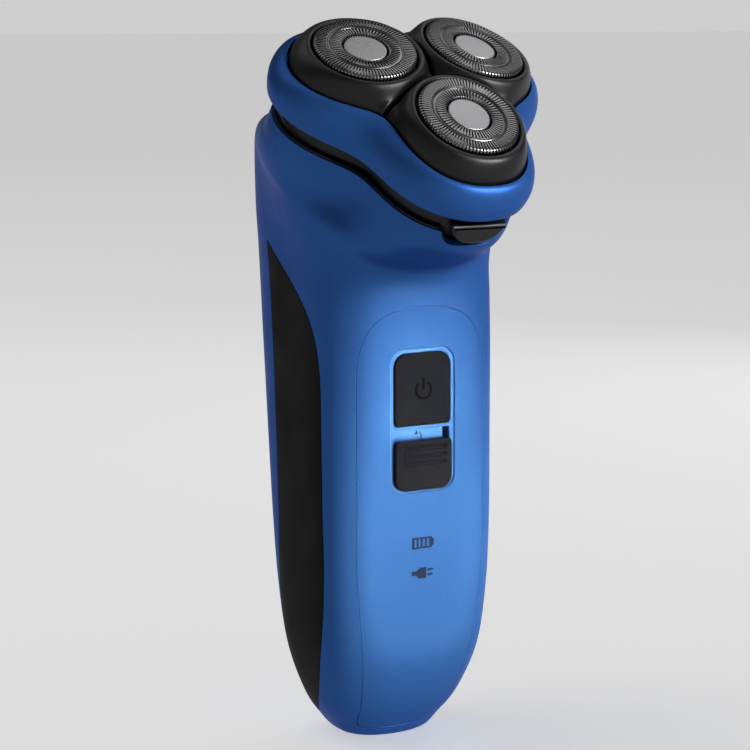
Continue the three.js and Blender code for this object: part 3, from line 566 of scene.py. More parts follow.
LOOK_SLOTS = {
    "blue": "blue_shell", "black": "black_plastic", "grip": "soft_grip", "button": "dark_grey_plastic",
    "guard": "guard_steel", "cap": "cap_steel", "steel": "steel", "inner": "inner_plastic",
    "brass": "brass_pin", "board": "board", "cell": "cell_sleeve", "motor": "motor_can",
    "clear": "clear_plastic",
}
SLOT_LOOKS = {slot: look for look, slot in LOOK_SLOTS.items()}
LOOK_SLOTS.update(blue_light="blue_shell", ink="dark_grey_plastic", print="dark_grey_plastic")


def dress_cad_nodes():
    """Every CAD node that stays takes its procedural finish from its slot in the record."""
    for row in frame["record"]["subparts"]:
        mesh = frame["nodes"][row["node"]].data
        mesh.materials.clear()
        mesh.materials.append(MATERIALS[SLOT_LOOKS[row["material_slot"]]])


# ---- making pieces

def piece(name, skin, look, body, replaced=(), smooth_angle=None):
    """A Blender object in metres from a skin in millimetres, riding on a body."""
    mesh = bpy.data.meshes.new(name)
    mesh.from_pydata((skin.points * MM).tolist(), [], skin.faces)
    mesh.materials.append(MATERIALS[look])
    mesh.polygons.foreach_set("use_smooth", [True] * len(mesh.polygons))
    mesh.validate()
    mesh.update()
    if smooth_angle is not None:
        mesh.set_sharp_from_angle(angle=math.radians(smooth_angle))
    elif len(mesh.vertices) == len(skin.normals):
        mesh.normals_split_custom_set_from_vertices(unit(skin.normals).tolist())
    made = bpy.data.objects.new(name, mesh)
    bpy.context.scene.collection.objects.link(made)
    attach(made, body)
    if replaced:
        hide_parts(*replaced)
    return made


def joined(*skins):
    """Several closed skins as one."""
    points, normals, faces, start = [], [], [], 0
    for skin in skins:
        points.append(skin.points)
        normals.append(skin.normals)
        faces.extend(tuple(v + start for v in face) for face in skin.faces)
        start += len(skin.points)
    return Skin(np.concatenate(points), np.concatenate(normals), faces)


def moved(skin, transform):
    """A skin with its points passed through a function that keeps shape."""
    origin = transform(np.zeros((1, 3)))
    return Skin(transform(skin.points), transform(skin.normals) - origin, skin.faces)


def lathe(profile, columns=96):
    """A closed solid of revolution about Z from an anticlockwise [radius, height] profile."""
    profile = np.asarray(profile, float)
    angle = full_turn(columns)
    radius, height = profile[:, :1], np.repeat(profile[:, 1:], columns, 1)
    points = np.stack([radius * np.cos(angle), radius * np.sin(angle), height], -1).reshape(-1, 3)
    return Skin(points, np.tile((0, 0, 1.0), (len(points), 1)), wrapped_faces(len(profile), columns))


# ---- camera, floor and light

CAMERA = {"azimuth": -30.10, "elevation": 8.29, "roll": -0.28, "distance": 553.85,
          "sensor": 36, "lens": 119.403, "target": (-7.07, -10.0, 83.99)}


def add_camera():
    data = bpy.data.cameras.new("camera")
    data.sensor_width = CAMERA["sensor"]
    data.lens = CAMERA["lens"]
    data.clip_start, data.clip_end = 0.01, 20
    made = bpy.data.objects.new("camera", data)
    a, e, roll = (math.radians(CAMERA[key]) for key in ("azimuth", "elevation", "roll"))
    back = Vector((math.sin(a) * math.cos(e), -math.cos(a) * math.cos(e), math.sin(e)))
    right = Vector((math.cos(a), math.sin(a), 0))
    up = back.cross(right)
    turned_right = right * math.cos(roll) + up * math.sin(roll)
    turned_up = up * math.cos(roll) - right * math.sin(roll)
    location = Vector(CAMERA["target"]) * MM + back * CAMERA["distance"] * MM
    made.matrix_world = Matrix((
        (turned_right.x, turned_up.x, back.x, location.x),
        (turned_right.y, turned_up.y, back.y, location.y),
        (turned_right.z, turned_up.z, back.z, location.z),
        (0, 0, 0, 1),
    ))
    bpy.context.scene.collection.objects.link(made)
    bpy.context.scene.camera = made


def add_light(name, location, target, size, power, spread=180, color=(1, 1, 1)):
    data = bpy.data.lights.new(name, "AREA")
    data.color = color
    data.shape = "RECTANGLE"
    data.size, data.size_y = size
    data.energy = power
    data.spread = math.radians(spread)
    made = bpy.data.objects.new(name, data)
    made.location = location
    made.rotation_euler = (Vector(target) - Vector(location)).to_track_quat("-Z", "Y").to_euler()
    bpy.context.scene.collection.objects.link(made)
    return made


def add_backdrop(bright, dim):
    """A studio that is bright at floor level and dim above."""
    world = bpy.data.worlds.new("studio")
    bpy.context.scene.world = world
    world.use_nodes = True
    nodes, links = world.node_tree.nodes, world.node_tree.links
    height = nodes.new("ShaderNodeSeparateXYZ")
    links.new(nodes.new("ShaderNodeTexCoord").outputs["Generated"], height.inputs["Vector"])
    fade = nodes.new("ShaderNodeMapRange")
    fade.interpolation_type = "SMOOTHSTEP"
    set_inputs(fade, {"From Min": 0.03, "From Max": 0.16, "To Min": bright, "To Max": dim})
    links.new(height.outputs["Z"], fade.inputs["Value"])
    links.new(fade.outputs["Result"], nodes["Background"].inputs["Strength"])
    nodes["Background"].inputs["Color"].default_value = (1, 1, 1, 1)


def add_studio():
    mesh = bpy.data.meshes.new("floor")
    half = 20.0
    square = [(-half, -half, 0), (half, -half, 0), (half, half, 0), (-half, half, 0)]
    mesh.from_pydata(square, [], [(0, 1, 2, 3)])
    pale = surface("pale_floor", (0.8, 0.8, 0.8), 0.75, grain=300, bump=0.02, tint=0.01, glow=0.5)
    mesh.materials.append(pale)
    floor = bpy.data.objects.new("floor", mesh)
    bpy.context.scene.collection.objects.link(floor)
    add_backdrop(0.62, 0.09)
    key = add_light("key", (0.28, -0.50, 0.36), (0, -0.02, 0.06), (0.22, 0.22), 2.4, spread=120)
    low = add_light("low", (0.25, -0.45, -0.02), (0, -0.02, 0.050), (0.12, 0.05), 0.076, spread=10,
                    color=(1, 0.86, 0.56))
    sheen = add_light("sheen", (0.36, 0.08, 0.72), (0, -0.02, 0.15), (0.3, 0.3), 0.5)
    add_light("overhead", (-0.5, 0.5, 1.2), (0, 0.1, 0), (1.2, 1.2), 4.0)
    add_light("rim", (0.5, 0.35, 0.35), (0, 0, 0.1), (0.3, 0.4), 0.4)
    bpy.context.scene.view_settings.view_transform = "Standard"
    return [key, low, sheen]


def keep_off_floor(lights):
    """The lights that shape the object don't burn out the floor."""
    lit = bpy.data.collections.new("lit_object")
    for thing in bpy.data.objects:
        if thing.type == "MESH" and thing.name != "floor":
            lit.objects.link(thing)
    for light in lights:
        light.light_linking.receiver_collection = lit
        light.light_linking.blocker_collection = lit


# ---- body pieces

def shell_pieces(whole):
    """The two half shells."""
    rest = clip(whole, SEAM - grip_field(whole.points))
    rest_behind = clip(rest, rear_field(rest.points) + SEAM - 0.1)
    rest_front = clip(rest, SEAM - 0.1 - rear_field(rest.points))

    front = clip(rest_front, SEAM - 0.05 - panel_field(rest_front.points))
    front = clip(front, 0.1 - notch_field(front.points))
    piece("front_shell_skin", thicken(front, SHELL), "blue", "handle", ["front_shell"])

    rear = clip(rest_behind, -trimmer_field(rest_behind.points, 0.45, 1.3, -0.45))
    rear = clip(rear, 0.3 - inlet_field(rear.points))
    for sign in (-1, 1):
        rear = clip(rear, -screw_field(rear.points, sign))
    piece("rear_shell_skin", thicken(rear, SHELL), "blue", "handle", ["rear_shell"])


def grip_pieces(whole):
    both = clip(whole, grip_field(whole.points) + SEAM)
    for name, sign in (("left", -1), ("right", 1)):
        pad = thicken(clip(both, -sign * both.points[:, 0]), 1.1, bevel=0.25)
        piece(f"{name}_grip_pad", pad, "grip", "handle", [f"{name}_grip"])


def panel_piece(whole):
    panel = clip(whole, panel_field(whole.points) + SEAM - 0.05)
    panel = clip(panel, 0.12 - bezel_field(panel.points))
    piece("front_panel_skin", thicken(panel, SHELL), "blue", "handle", ["front_panel"])


def trimmer_pieces(whole):
    cover = clip(whole, trimmer_field(whole.points, -0.25, -0.25, 0.75))
    knuckle = tube_x(1.4, 0.9, 6, TRIMMER["pivot_y"], TRIMMER["pivot_z"])
    rib = box((-8, 22.9, 112.6), (8, 24.3, 128))
    piece("trimmer_cover_skin", joined(thicken(cover, COVER, bevel=0.25), knuckle, rib), "blue",
          "trimmer", ["trimmer_cover"])
    pin = tube_x(0.6, 0.02, 7.4, TRIMMER["pivot_y"], TRIMMER["pivot_z"], 24)
    piece("hinge_pin", pin, "steel", "trimmer", ["trimmer_pin"], smooth_angle=30)


# ---- shaving head

LOBE_ANGLES = {name: -math.pi / 2 + 2 * math.pi * k / 3 for k, name in enumerate(HEAD_NAMES)}


def in_lobe(name):
    """From a lobe drawn along +X to the part frame."""
    angle = LOBE_ANGLES[name]

    def transform(points):
        x, y, z = np.asarray(points, float).T
        return from_head(np.stack([
            x * math.cos(angle) - y * math.sin(angle), x * math.sin(angle) + y * math.cos(angle), z,
        ], -1))
    return transform


def guard_to_lobe(points):
    x, y, z = np.asarray(points, float).T
    return np.stack([
        GUARD_CIRCLE + x * math.cos(GUARD_LEAN) + z * math.sin(GUARD_LEAN), y,
        -x * math.sin(GUARD_LEAN) + z * math.cos(GUARD_LEAN),
    ], -1)


def in_guard(name):
    """From a guard's own frame to the part frame."""
    place = in_lobe(name)
    return lambda points: place(guard_to_lobe(points))


def crest_depth(angle):
    """How deep the top edge of the blue ring lies under the guard plane."""
    return lobed(angle, RING_CREST)


def closed_grid(points):
    """A skin from a grid that closes on itself both ways."""
    rows, columns = points.shape[:2]
    normals = unit(np.cross(
        np.roll(points, -1, 1) - np.roll(points, 1, 1), np.roll(points, -1, 0) - np.roll(points, 1, 0),
    ))
    return Skin(points, normals, wrapped_faces(rows, columns))


def arc(centre, radius, start, end, steps):
    """Points of an arc in degrees, from start to end."""
    turn = np.radians(np.linspace(start, end, steps))
    return [(centre[0] + radius * c, centre[1] + radius * s) for c, s in zip(np.cos(turn), np.sin(turn))]


def tube_x(outer, inner, half, y, z, columns=40):
    """A short tube across the part."""
    skin = lathe([(inner, -half), (outer, -half), (outer, half), (inner, half)], columns)
    return moved(skin, lambda p: np.stack([p[:, 2], y + p[:, 0], z + p[:, 1]], -1))


def retaining_ring():
    """The blue lobed ring: a proud round shoulder over the neck band."""
    angle = full_turn(300)
    top, girth, foot = (lobed(angle, size) for size in (RING_TOP, RING_GIRTH, RING_FOOT))
    crest = crest_depth(angle)
    rows = [(top, RING_FOOT_DEPTH - 0.2), (top, crest + 2), (top, crest + 0.7)]
    for turn in np.radians([180, 150, 120, 90]):
        rows.append((top + 0.35 + 0.35 * np.cos(turn), crest + 0.35 - 0.35 * np.sin(turn)))
    for turn in np.radians(np.linspace(4, 90, 16)):
        share = math.sin(turn) ** (2 / 1.8)
        drop = 1 - math.cos(turn) ** (2 / 1.8)
        rows.append((mix(top + 0.35, girth, share), mix(crest, 12, drop)))
    rows.extend([(mix(girth, foot, 0.35), 12 + 1.4), (mix(girth, foot, 0.8), 12 + 2.3)])
    for turn in np.radians([0, 30, 60, 90]):
        radius = foot - 0.45 + 0.45 * np.cos(turn)
        rows.append((radius, RING_FOOT_DEPTH - 0.45 + 0.45 * np.sin(turn)))
    rows.append((top + 0.4, RING_FOOT_DEPTH + 0 * top))
    grid = [np.stack([r * np.cos(angle), r * np.sin(angle), -(d + 0 * angle)], -1) for r, d in rows]
    return closed_grid(from_head(np.array(grid[::-1])))


LIP = {"bore": GUARD_RADIUS + 0.45, "edge": GUARD_RADIUS + 1.2, "level": -0.75}
SEAM_GAP = 0.5                # half the gap between neighbouring pods
POD_CLEARANCE = 0.4           # between a pod and the ring


def ring_clearance(x, y):
    """How far a point of a lobe frame lies inside the opening of the ring."""
    return lobed(np.arctan2(y, x) - math.pi / 2, RING_TOP) - POD_CLEARANCE - np.hypot(x, y)


def seam_clearance(x, y):
    """How far a point of a lobe frame lies from the seams with the other two pods."""
    return x * math.sin(math.pi / 3) - np.abs(y) / 2 - SEAM_GAP


def pod_reach(phi):
    """How far a petal reaches from its guard's centre in each direction."""
    low, high = np.full(phi.shape, 8.0), np.full(phi.shape, 32.0)
    for _ in range(40):
        middle = (low + high) / 2
        x, y = GUARD_CIRCLE + middle * np.cos(phi), middle * np.sin(phi)
        inside = (ring_clearance(x, y) > 0) & (seam_clearance(x, y) > 0)
        low, high = np.where(inside, middle, low), np.where(inside, high, middle)
    return low


def quarter(distance, radius):
    """0 from `radius` inwards, rising along a quarter circle to 1 at the border."""
    share = np.clip(1 - distance / radius, 0, 1)
    return 1 - np.sqrt(np.clip(1 - share ** 2, 0, 1))


def pod_depth(x, y):
    """Depth of a pod's outside below the guard plane: lip, gentle dome, shoulder and seam edge."""
    across = x - GUARD_CIRCLE
    beyond = np.hypot(across, y) - LIP["edge"]
    lip = -LIP["level"] / math.cos(GUARD_LEAN) + across * math.tan(GUARD_LEAN)
    angle = np.arctan2(y, x) - math.pi / 2
    share = np.clip(np.hypot(x, y) / (lobed(angle, RING_TOP) - POD_CLEARANCE), 0, 1)
    dome = mix(1.9, 3.3, share ** 2.4)
    top = mix(lip, np.maximum(dome, lip), smoothstep(0, 2.8, beyond))
    foot = crest_depth(angle) + 0.3
    depth = mix(top, foot, quarter(ring_clearance(x, y), 2.6))
    return depth + 0.5 * quarter(seam_clearance(x, y), 0.5)


def petal():
    """One pod in its lobe frame: a bore, a round lip, a shoulder, and a wall down to the ring."""
    phi = full_turn(288)
    direction = np.stack([np.cos(phi), np.sin(phi)], -1)

    def guard_row(radius, z):
        return guard_to_lobe(np.concatenate([radius * direction, np.full((len(phi), 1), z)], 1))

    bore, edge, level = LIP["bore"], LIP["edge"], LIP["level"]
    rows = [guard_row(8.2, -7.6), guard_row(8.2, -6.4)]
    rows.extend([guard_row(bore, -6.4), guard_row(bore, level - 0.4)])
    for turn in np.radians([150, 120, 90]):
        rows.append(guard_row(bore + 0.35 + 0.35 * math.cos(turn), level - 0.35 + 0.35 * math.sin(turn)))
    rim = guard_row(edge, level)
    rows.append(rim)
    reach = pod_reach(phi)
    end = np.stack([GUARD_CIRCLE + reach * np.cos(phi), reach * np.sin(phi)], -1)
    for turn in np.radians([8, 16, 24, 32, 40, 48, 56, 63, 69, 75, 80, 84, 87, 90]):
        flat = mix(rim[:, :2], end, math.sin(turn))
        rows.append(np.concatenate([flat, -pod_depth(*flat.T)[:, None]], 1))
    skirt = rows[-1].copy()
    floor = (-7.6 - (skirt[:, 0] - GUARD_CIRCLE) * math.sin(GUARD_LEAN)) / math.cos(GUARD_LEAN)
    skirt[:, 2] = np.minimum(skirt[:, 2] - 1.9, floor)
    rows.append(skirt)
    return closed_grid(np.array(rows))


def slot_columns(count, share):
    """Angles of the edges of every bar and slot, and whether each edge lies in a slot."""
    pitch = 2 * math.pi / count
    step = pitch * 0.02
    starts = np.arange(count) * pitch
    bar = pitch * (1 - share)
    angles = np.stack([starts + step, starts + bar - step, starts + bar + step, starts + pitch - step], 1)
    return angles.ravel(), np.tile([False, False, True, True], count)


GUARD_SLOTS = 90
INNER_SLOTS = 60


def guard_band(profile, slotted, count, share, depth):
    """A ring of revolution whose rows marked in `slotted` are cut by radial slots."""
    angle, in_slot = slot_columns(count, share)
    profile = np.asarray(profile, float)
    following = np.roll(profile, -1, 0) - np.roll(profile, 1, 0)
    inward = unit(np.stack([-following[:, 1], following[:, 0]], -1))
    cut_rows = np.array(slotted, bool)
    sunk = profile + inward * depth * cut_rows[:, None]
    radius = np.where(in_slot, sunk[:, :1], profile[:, :1])
    height = np.where(in_slot, sunk[:, 1:], profile[:, 1:])
    points = np.stack([radius * np.cos(angle), radius * np.sin(angle), height], -1)
    return closed_grid(points)


def outer_track():
    rim = GUARD_RADIUS
    wall = rim - 0.55
    profile = [(8.5, -0.9), (wall, -1.2), (wall, -4.6), (rim, -4.6), (rim, -1.95), (rim, -1.9)]
    flags = [False, False, False, False, False, True]
    for x, y in arc((rim - 0.75, -0.75), 0.75, 0, 90, 6):
        profile.append((x, y))
        flags.append(True)
    profile.extend([(8.66, 0), (8.62, 0), (8.5, -0.05)])
    flags.extend([True, False, False])
    return guard_band(profile, flags, GUARD_SLOTS, 0.5, 0.42)


def inner_track():
    profile = [(5.2, -0.9), (7.6, -0.9), (7.6, -0.04), (7.5, 0)]
    profile.extend([(7.46, 0), (5.45, 0), (5.4, -0.02), (5.2, -0.12)])
    flags = [False, False, False, False, True, True, True, True]
    return guard_band(profile, flags, INNER_SLOTS, 0.52, 0.45)


def middle_bands():
    """The plain ring between the slotted tracks, with a thin ridge."""
    profile = [(8.5, -0.9), (8.5, -0.35), (8.32, -0.3), (8.3, -0.04), (8.2, 0.03), (8.08, -0.02)]
    profile.extend([(8.02, -0.22), (7.62, -0.16), (7.6, -0.9)])
    return lathe(profile[::-1], 120)


def cap_disc():
    profile = [(0.02, -0.6), (0.02, -0.16)]
    profile.extend([(2.0, -0.165), (4.3, -0.19)])
    profile.extend(arc((4.45, -0.42), 0.23, 80, 0, 5))
    profile.append((4.68, -0.6))
    return lathe(profile[::-1], 96)


def head_pieces():
    ring = retaining_ring()
    hinge = from_head([0, 22.5, -17.5])
    knuckle = tube_x(1.9, 1.3, 3.5, hinge[1], hinge[2])
    piece("head_ring", joined(ring, knuckle), "blue", "shaving_unit", ["head_frame"])
    pod = petal()
    guard = joined(outer_track(), inner_track(), middle_bands())
    cap = cap_disc()
    for name in HEAD_NAMES:
        piece(f"{name}_petal", moved(pod, in_lobe(name)), "black", f"{name}_float",
              [f"{name}_pod"], smooth_angle=38)
        place = in_guard(name)
        piece(f"{name}_slotted_guard", moved(guard, place), "guard", f"{name}_shaver",
              [f"{name}_guard"], smooth_angle=30)
        piece(f"{name}_cap_disc", moved(cap, place), "cap", f"{name}_shaver",
              [f"{name}_guard_cap"], smooth_angle=30)


# ---- controls, marks and small parts

def relief_grid(low, high, step, y, relief=None):
    """A skin that faces the front at depth y, pushed in by `relief` of x and z."""
    xs = np.linspace(low[0], high[0], math.ceil((high[0] - low[0]) / step) + 1)
    zs = np.linspace(low[1], high[1], math.ceil((high[1] - low[1]) / step) + 1)
    x, z = np.meshgrid(xs, zs)
    inward = relief(x, z) if relief else 0 * x
    points = np.stack([x, y + inward, z], -1)
    faces = grid_faces(len(zs), len(xs), closed=False)
    return Skin(points, grid_normals(points, closed=False), faces)


def outline_normals(outline):
    along = unit(np.roll(outline, -1, 0) - np.roll(outline, 1, 0))
    return np.stack([along[:, 1], -along[:, 0]], -1)


def plate(outline, front, back, bevel=0.0, steps=5):
    """A closed plate over an anticlockwise outline, with a round front edge."""
    outline = np.asarray(outline, float)
    outward = outline_normals(outline)
    rows, normals = [], []

    def row(inset, height, side, up):
        rows.append(np.concatenate([outline - inset * outward, np.full((len(outline), 1), height)], 1))
        normals.append(np.concatenate([side * outward, np.full((len(outline), 1), up)], 1))

    row(0, back, 1, 0)
    for turn in np.radians(np.linspace(0, 90, steps if bevel else 1)):
        side, up = math.cos(turn), math.sin(turn)
        row(bevel * (1 - side), front - bevel + bevel * up, side, up)
    return Skin(np.concatenate(rows), np.concatenate(normals), ended_faces(len(rows), len(outline)))


def face_front(points):
    """Plate coordinates to part coordinates, with the plate's front towards -Y."""
    a, b, c = np.asarray(points, float).T
    return np.stack([a, -c, b], -1)


def face_collar(points):
    a, b, c = np.asarray(points, float).T
    return from_head(np.stack([a, -c, b], -1))


def face_back(points):
    return np.asarray(points, float) * (-1, -1, 1)


def box(low, high):
    """A closed box."""
    return plate(rectangle(*low[:2], *high[:2]), high[2], low[2])


POWER = {"low": (-6.9, 73.7), "high": (6.9, 89.2), "front": -19.1}
SLIDER = {"low": (-6.9, 59.2), "high": (6.9, 69.6), "front": -19.5, "thick": 1.45,
          "window_high": 72.7, "floor": -17.75}
STEM = {"low": 62.9, "high": 65.7}
SPRING = {"low": 66.0, "high": 71.6, "y": -13.9, "travel": 2.6}
RIDGES = (68.2, 66.5, 64.8)
RELIEF_STEP = 0.3


def slider_relief(x, z):
    """Three soft grooves across the upper half of the trimmer slider."""
    inward = 0 * x
    ends = 1 - smoothstep(5.0, 6.0, np.abs(x))
    for height in RIDGES:
        inward = inward + 0.5 * ends * np.exp(-((z - height) / 0.42) ** 4)
    return inward


def button_relief(x, z):
    """A shallow dish in the power button."""
    return 0.05 * ((x / 6.9) ** 2 + ((z - 81.45) / 7.75) ** 2)


def cut_to(skin, low, high, low_radius, high_radius, keep=1):
    """What lies inside a rectangle with its own corner radii below and above, or outside it."""
    x, z = skin.points[:, 0], skin.points[:, 2]
    upper = box_distance(x, z, (low[0], low[1] - 20), high, high_radius)
    lower = box_distance(x, z, low, (high[0], high[1] + 20), low_radius)
    return clip(skin, keep * np.maximum(upper, lower))


def switch_frame():
    """The frame round both switches, and the floor of the slider's window."""
    tray = relief_grid((-8.6, 57.9), (8.6, 90.9), RELIEF_STEP, BEZEL["front"])
    tray = clip(tray, bezel_field(tray.points))
    tray = cut_to(tray, (-7.2, 73.4), (7.2, 89.5), 0.5, 2.9, keep=-1)
    tray = cut_to(tray, (-7.2, 58.9), (7.2, SLIDER["window_high"]), 2.6, 0.5, keep=-1)
    tray = thicken(tray, 2.6, bevel=0.22)
    floor = relief_grid((-7.1, 59.0), (5.6, 72.6), 0.5, SLIDER["floor"])
    floor = cut_to(floor, (-7.1, 59.0), (9, 72.6), 2.4, 0.2)
    slot = box_distance(floor.points[:, 0], floor.points[:, 2], (-1.7, 62.5), (1.7, 68.8), 0.3)
    floor = thicken(clip(floor, -slot), 1.6, bevel=0.05)
    piece("switch_frame", joined(tray, floor), "blue_light", "handle", ["switch_bezel"])


def power_button():
    cap = relief_grid((-7.2, 73.4), (7.2, 89.5), RELIEF_STEP, POWER["front"], button_relief)
    cap = thicken(cut_to(cap, POWER["low"], POWER["high"], 0.6, 2.7), 2.2, bevel=0.45, steps=4)
    stem = box((-1.5, -16.9, 79.9), (1.5, -15.3, 82.9))
    piece("power_cap", joined(cap, stem), "button", "power_key", ["power_button"])


def trimmer_slider():
    cap = relief_grid((-7.2, 58.9), (7.2, 69.9), 0.2, SLIDER["front"], slider_relief)
    cap = cut_to(cap, SLIDER["low"], SLIDER["high"], 2.4, 0.5)
    cap = thicken(cap, SLIDER["thick"], bevel=0.45, steps=4)
    cap.points[:, 1] = np.minimum(cap.points[:, 1], SLIDER["front"] + SLIDER["thick"])
    stem = box((-1.3, -18.2, STEM["low"]), (1.3, -14.2, STEM["high"]))
    foot = box((-1.6, -15.2, STEM["low"]), (1.6, -12.6, STEM["high"]))
    piece("slider_cap", joined(cap, stem, foot), "button", "trimmer_key",
          ["trimmer_slider"])


def return_spring():
    """The slider's spring, built at one fixed length; the real one shortens as the slider moves up."""
    wire = coil(0.9, 0.18, 5, SPRING["low"], SPRING["high"], SPRING["y"])
    spring = piece("return_spring", wire, "steel", "handle", ["slider_spring"])
    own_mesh(spring)


def coil(radius, wire, turns, low, high, y):
    """A coil spring along Z."""
    turn = np.linspace(0, 2 * math.pi * turns, turns * 28 + 1)[:, None]
    around = full_turn(12)[None, :]
    reach = radius + wire * np.cos(around)
    height = mix(low + wire, high - wire, turn / turn[-1]) - wire * np.sin(around)
    points = np.stack([reach * np.cos(turn), y + reach * np.sin(turn), height], -1)
    return Skin(points, grid_normals(points), ended_faces(*points.shape[:2]))


def ring_sector(radius, width, start, end, steps=40):
    """An anticlockwise outline of a stroke along an arc, in degrees."""
    outside = arc((0, 0), radius + width / 2, start, end, steps)
    inside = arc((0, 0), radius - width / 2, end, start, steps)
    return np.array(outside + inside)


def rectangle(x0, z0, x1, z1):
    return np.array([(x0, z0), (x1, z0), (x1, z1), (x0, z1)], float)


def finely(outline, step=0.3):
    """The same outline with points no further apart than `step`."""
    points = []
    for a, b in zip(outline, np.roll(outline, -1, 0)):
        count = max(1, math.ceil(np.linalg.norm(b - a) / step))
        points.extend(mix(a, b, share) for share in np.arange(count) / count)
    return np.array(points)


def mark(name, outlines, tree, body, look="print"):
    """Thin printed shapes laid on whatever surface the tree holds."""
    layers = []
    for outline in outlines:
        layer = moved(plate(finely(np.asarray(outline, float)), 0.05, 0.012), face_front)
        for point in layer.points:
            hit = tree.ray_cast(Vector((point[0], -60, point[2])), Vector((0, 1, 0)))[0]
            point[1] += hit.y
        layers.append(layer)
    piece(name, joined(*layers), look, body, smooth_angle=30)


def flat_tree(y):
    return BVHTree.FromPolygons([(-50, y, 0), (50, y, 0), (50, y, 200), (-50, y, 200)], [(0, 1, 2, 3)])


def power_mark():
    ring = ring_sector(1.95, 0.5, 126, 414) + (0, 81.3)
    bar = rectangle(-0.27, 81.3, 0.27, 84.1)
    mark("power_mark", [ring, bar], flat_tree(POWER["front"]), "power_key", "ink")


def battery_mark(tree):
    low, high, rim = 45.4, 48.0, 0.42
    left, right, tip = -2.8, 2.2, 2.9
    outlines = [rectangle(left, low, right, low + rim), rectangle(left, high - rim, right, high)]
    for x0, x1 in ((left, -2.2), (-1.62, -1.12), (-0.54, -0.04), (0.54, 1.04), (1.62, right)):
        outlines.append(rectangle(x0, low + rim, x1, high - rim))
    lower = [(right, low), (2.55, low + 0.5), (tip, low + 0.6)]
    upper = [(tip, high - 0.6), (2.55, high - 0.5), (right, high)]
    mark("battery_mark", outlines + [lower + upper], tree, "handle")


def plug_mark(tree):
    middle = 39.8
    lower = [(-2.8, -0.5), (-1.7, -0.5), (-1.0, -1.25), (1.0, -1.25)]
    upper = [(1.0, 1.25), (-0.6, 1.25), (-1.6, 0.5), (-2.8, 0.5)]
    outlines = [np.array(lower + upper) + (0, middle)]
    for foot in (middle + 0.35, middle - 0.75):
        prong = [(1.3, 0), (2.4, 0), (2.9, 0.26), (2.4, 0.5), (1.3, 0.5)]
        outlines.append(np.array(prong) + (0, foot))
    mark("plug_mark", outlines, tree, "handle")


def slider_mark():
    arrow = np.array([(-1.6, 71.2), (-0.7, 71.2), (-0.95, 72.1)])
    hook = ring_sector(2.2, 0.22, -28, 40, 14) + (-2.0, 70.4)
    mark("slider_mark", [arrow, hook], flat_tree(SLIDER["floor"]), "handle")


def neck_band():
    """The black band between the ring and the collar, with a flange that rests on the collar's rim."""
    angle = full_turn(300)
    rim = to_head(body_ring(len(STATIONS) - 1, angle))
    rim_angle = np.arctan2(rim[:, 1], rim[:, 0])
    reach = np.hypot(rim[:, 0], rim[:, 1])
    neck = lobed(rim_angle, NECK)
    behind_key = (np.abs(rim[:, 0]) < 7.4) & (rim[:, 1] < 0)
    flare = np.where(behind_key, 0.05, 0.8)
    outer = np.where(behind_key, neck + 0.25, reach - 0.55)
    rows = [(neck + 0.05, 15.9), (neck + 0.2, 15.9), (neck + 0.2, 18.6)]
    for turn in np.radians([20, 40, 60, 80]):
        rows.append((neck + 0.2 + flare * (1 - math.cos(turn)), 18.6 + 0.8 * math.sin(turn)))
    root = neck + 0.2 + flare
    rows.extend([(mix(root, outer, 0.5), 19.45), (mix(root, outer, 0.9), 19.5), (outer, 19.6)])
    rows.extend([(outer, 19.85), (root, 19.85), (neck + 0.05, 19.85)])
    direction = np.stack([np.cos(rim_angle), np.sin(rim_angle)], -1)
    inside, outside = neck - 1.2, neck - 0.4
    lip = [(inside, 14.1), (inside + 0.2, 13.9), (outside - 0.2, 13.9), (outside, 14.1)]
    lip.extend([(outside, 16.2), (inside, 16.2)])
    rings = []
    for loop in (rows, lip):
        grid = [np.column_stack([direction * radius[:, None], np.full(len(angle), -depth)])
                for radius, depth in loop]
        rings.append(closed_grid(from_head(np.array(grid[::-1]))))
    piece("neck_band", joined(*rings), "black", "handle", smooth_angle=40)


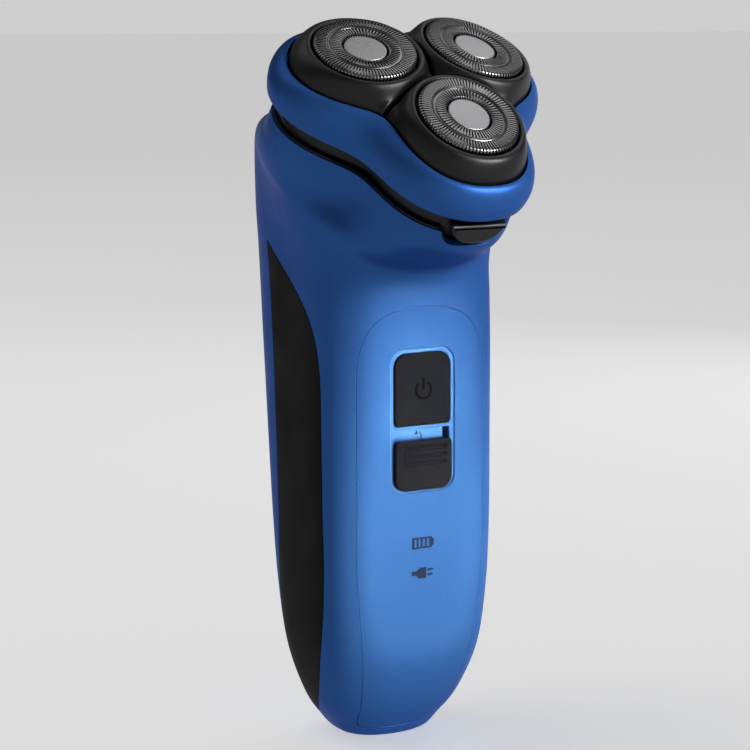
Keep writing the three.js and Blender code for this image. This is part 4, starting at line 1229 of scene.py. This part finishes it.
def release_key():
    low, half = -21.7, 6.5
    outline = np.concatenate([
        bezier((-half, -16.6), (-half, -19.6), (-4.2, low), (0, low), 16),
        bezier((0, low), (4.2, low), (half, -19.6), (half, -16.6), 16), [(half, -16.6)],
    ])
    cap = moved(plate(outline, 33.3, 31.1, bevel=0.9, steps=7), face_collar)
    stem = moved(plate(rectangle(-2.6, -20.4, 2.6, -17.6), 31.3, 27.0), face_collar)
    piece("release_cap", joined(cap, stem), "black", "release_key", ["release_button"])


def trimmer_well():
    """The dark lining behind the trimmer."""
    half, wall, low, high, front, back = 13, 0.6, 106.6, 136, 18.4, 23
    floor = box((-half, front, low), (half, front + 0.8, high))
    sides = [box((x, front, low), (x + wall, back, high)) for x in (-half - wall, half)]
    foot = box((-half, front + 0.8, low), (half, back, low + wall))
    piece("trimmer_well", joined(floor, *sides, foot), "black", "handle", smooth_angle=30)


def cross_recess(middle_x):
    """The depth of a cross-shaped recess."""
    def depth(x, z):
        a, b = np.abs(x - middle_x), np.abs(z - SCREW["z"])
        arms = np.minimum(np.maximum(a - 0.28, b - 1.35), np.maximum(b - 0.28, a - 1.35))
        return 0.7 * (1 - smoothstep(-0.1, 0.06, arms))
    return depth


def screw_heads():
    for name, sign in (("left", -1), ("right", 1)):
        x, z, half = -sign * SCREW["x"], SCREW["z"], SCREW["head"] + 0.45
        low, high = (x - half, z - half), (x + half, z + half)
        head = relief_grid(low, high, 0.12, -SCREW["level"], cross_recess(x))
        radius = np.hypot(head.points[:, 0] - x, head.points[:, 2] - z)
        head = thicken(clip(head, radius - SCREW["head"]), SCREW["height"], bevel=0.22)
        piece(f"{name}_screw_head", moved(head, face_back), "steel", "handle", [f"{name}_screw"])


# ---- run

dress_cad_nodes()
add_camera()
shaping_lights = add_studio()
whole_body = body_skin()
shell_pieces(whole_body)
grip_pieces(whole_body)
panel_piece(whole_body)
trimmer_pieces(whole_body)
head_pieces()
switch_frame()
power_button()
trimmer_slider()
return_spring()
power_mark()
body_tree = BVHTree.FromPolygons(whole_body.points.tolist(), whole_body.faces)
battery_mark(body_tree)
plug_mark(body_tree)
slider_mark()
neck_band()
release_key()
trimmer_well()
screw_heads()
keep_off_floor(shaping_lights)
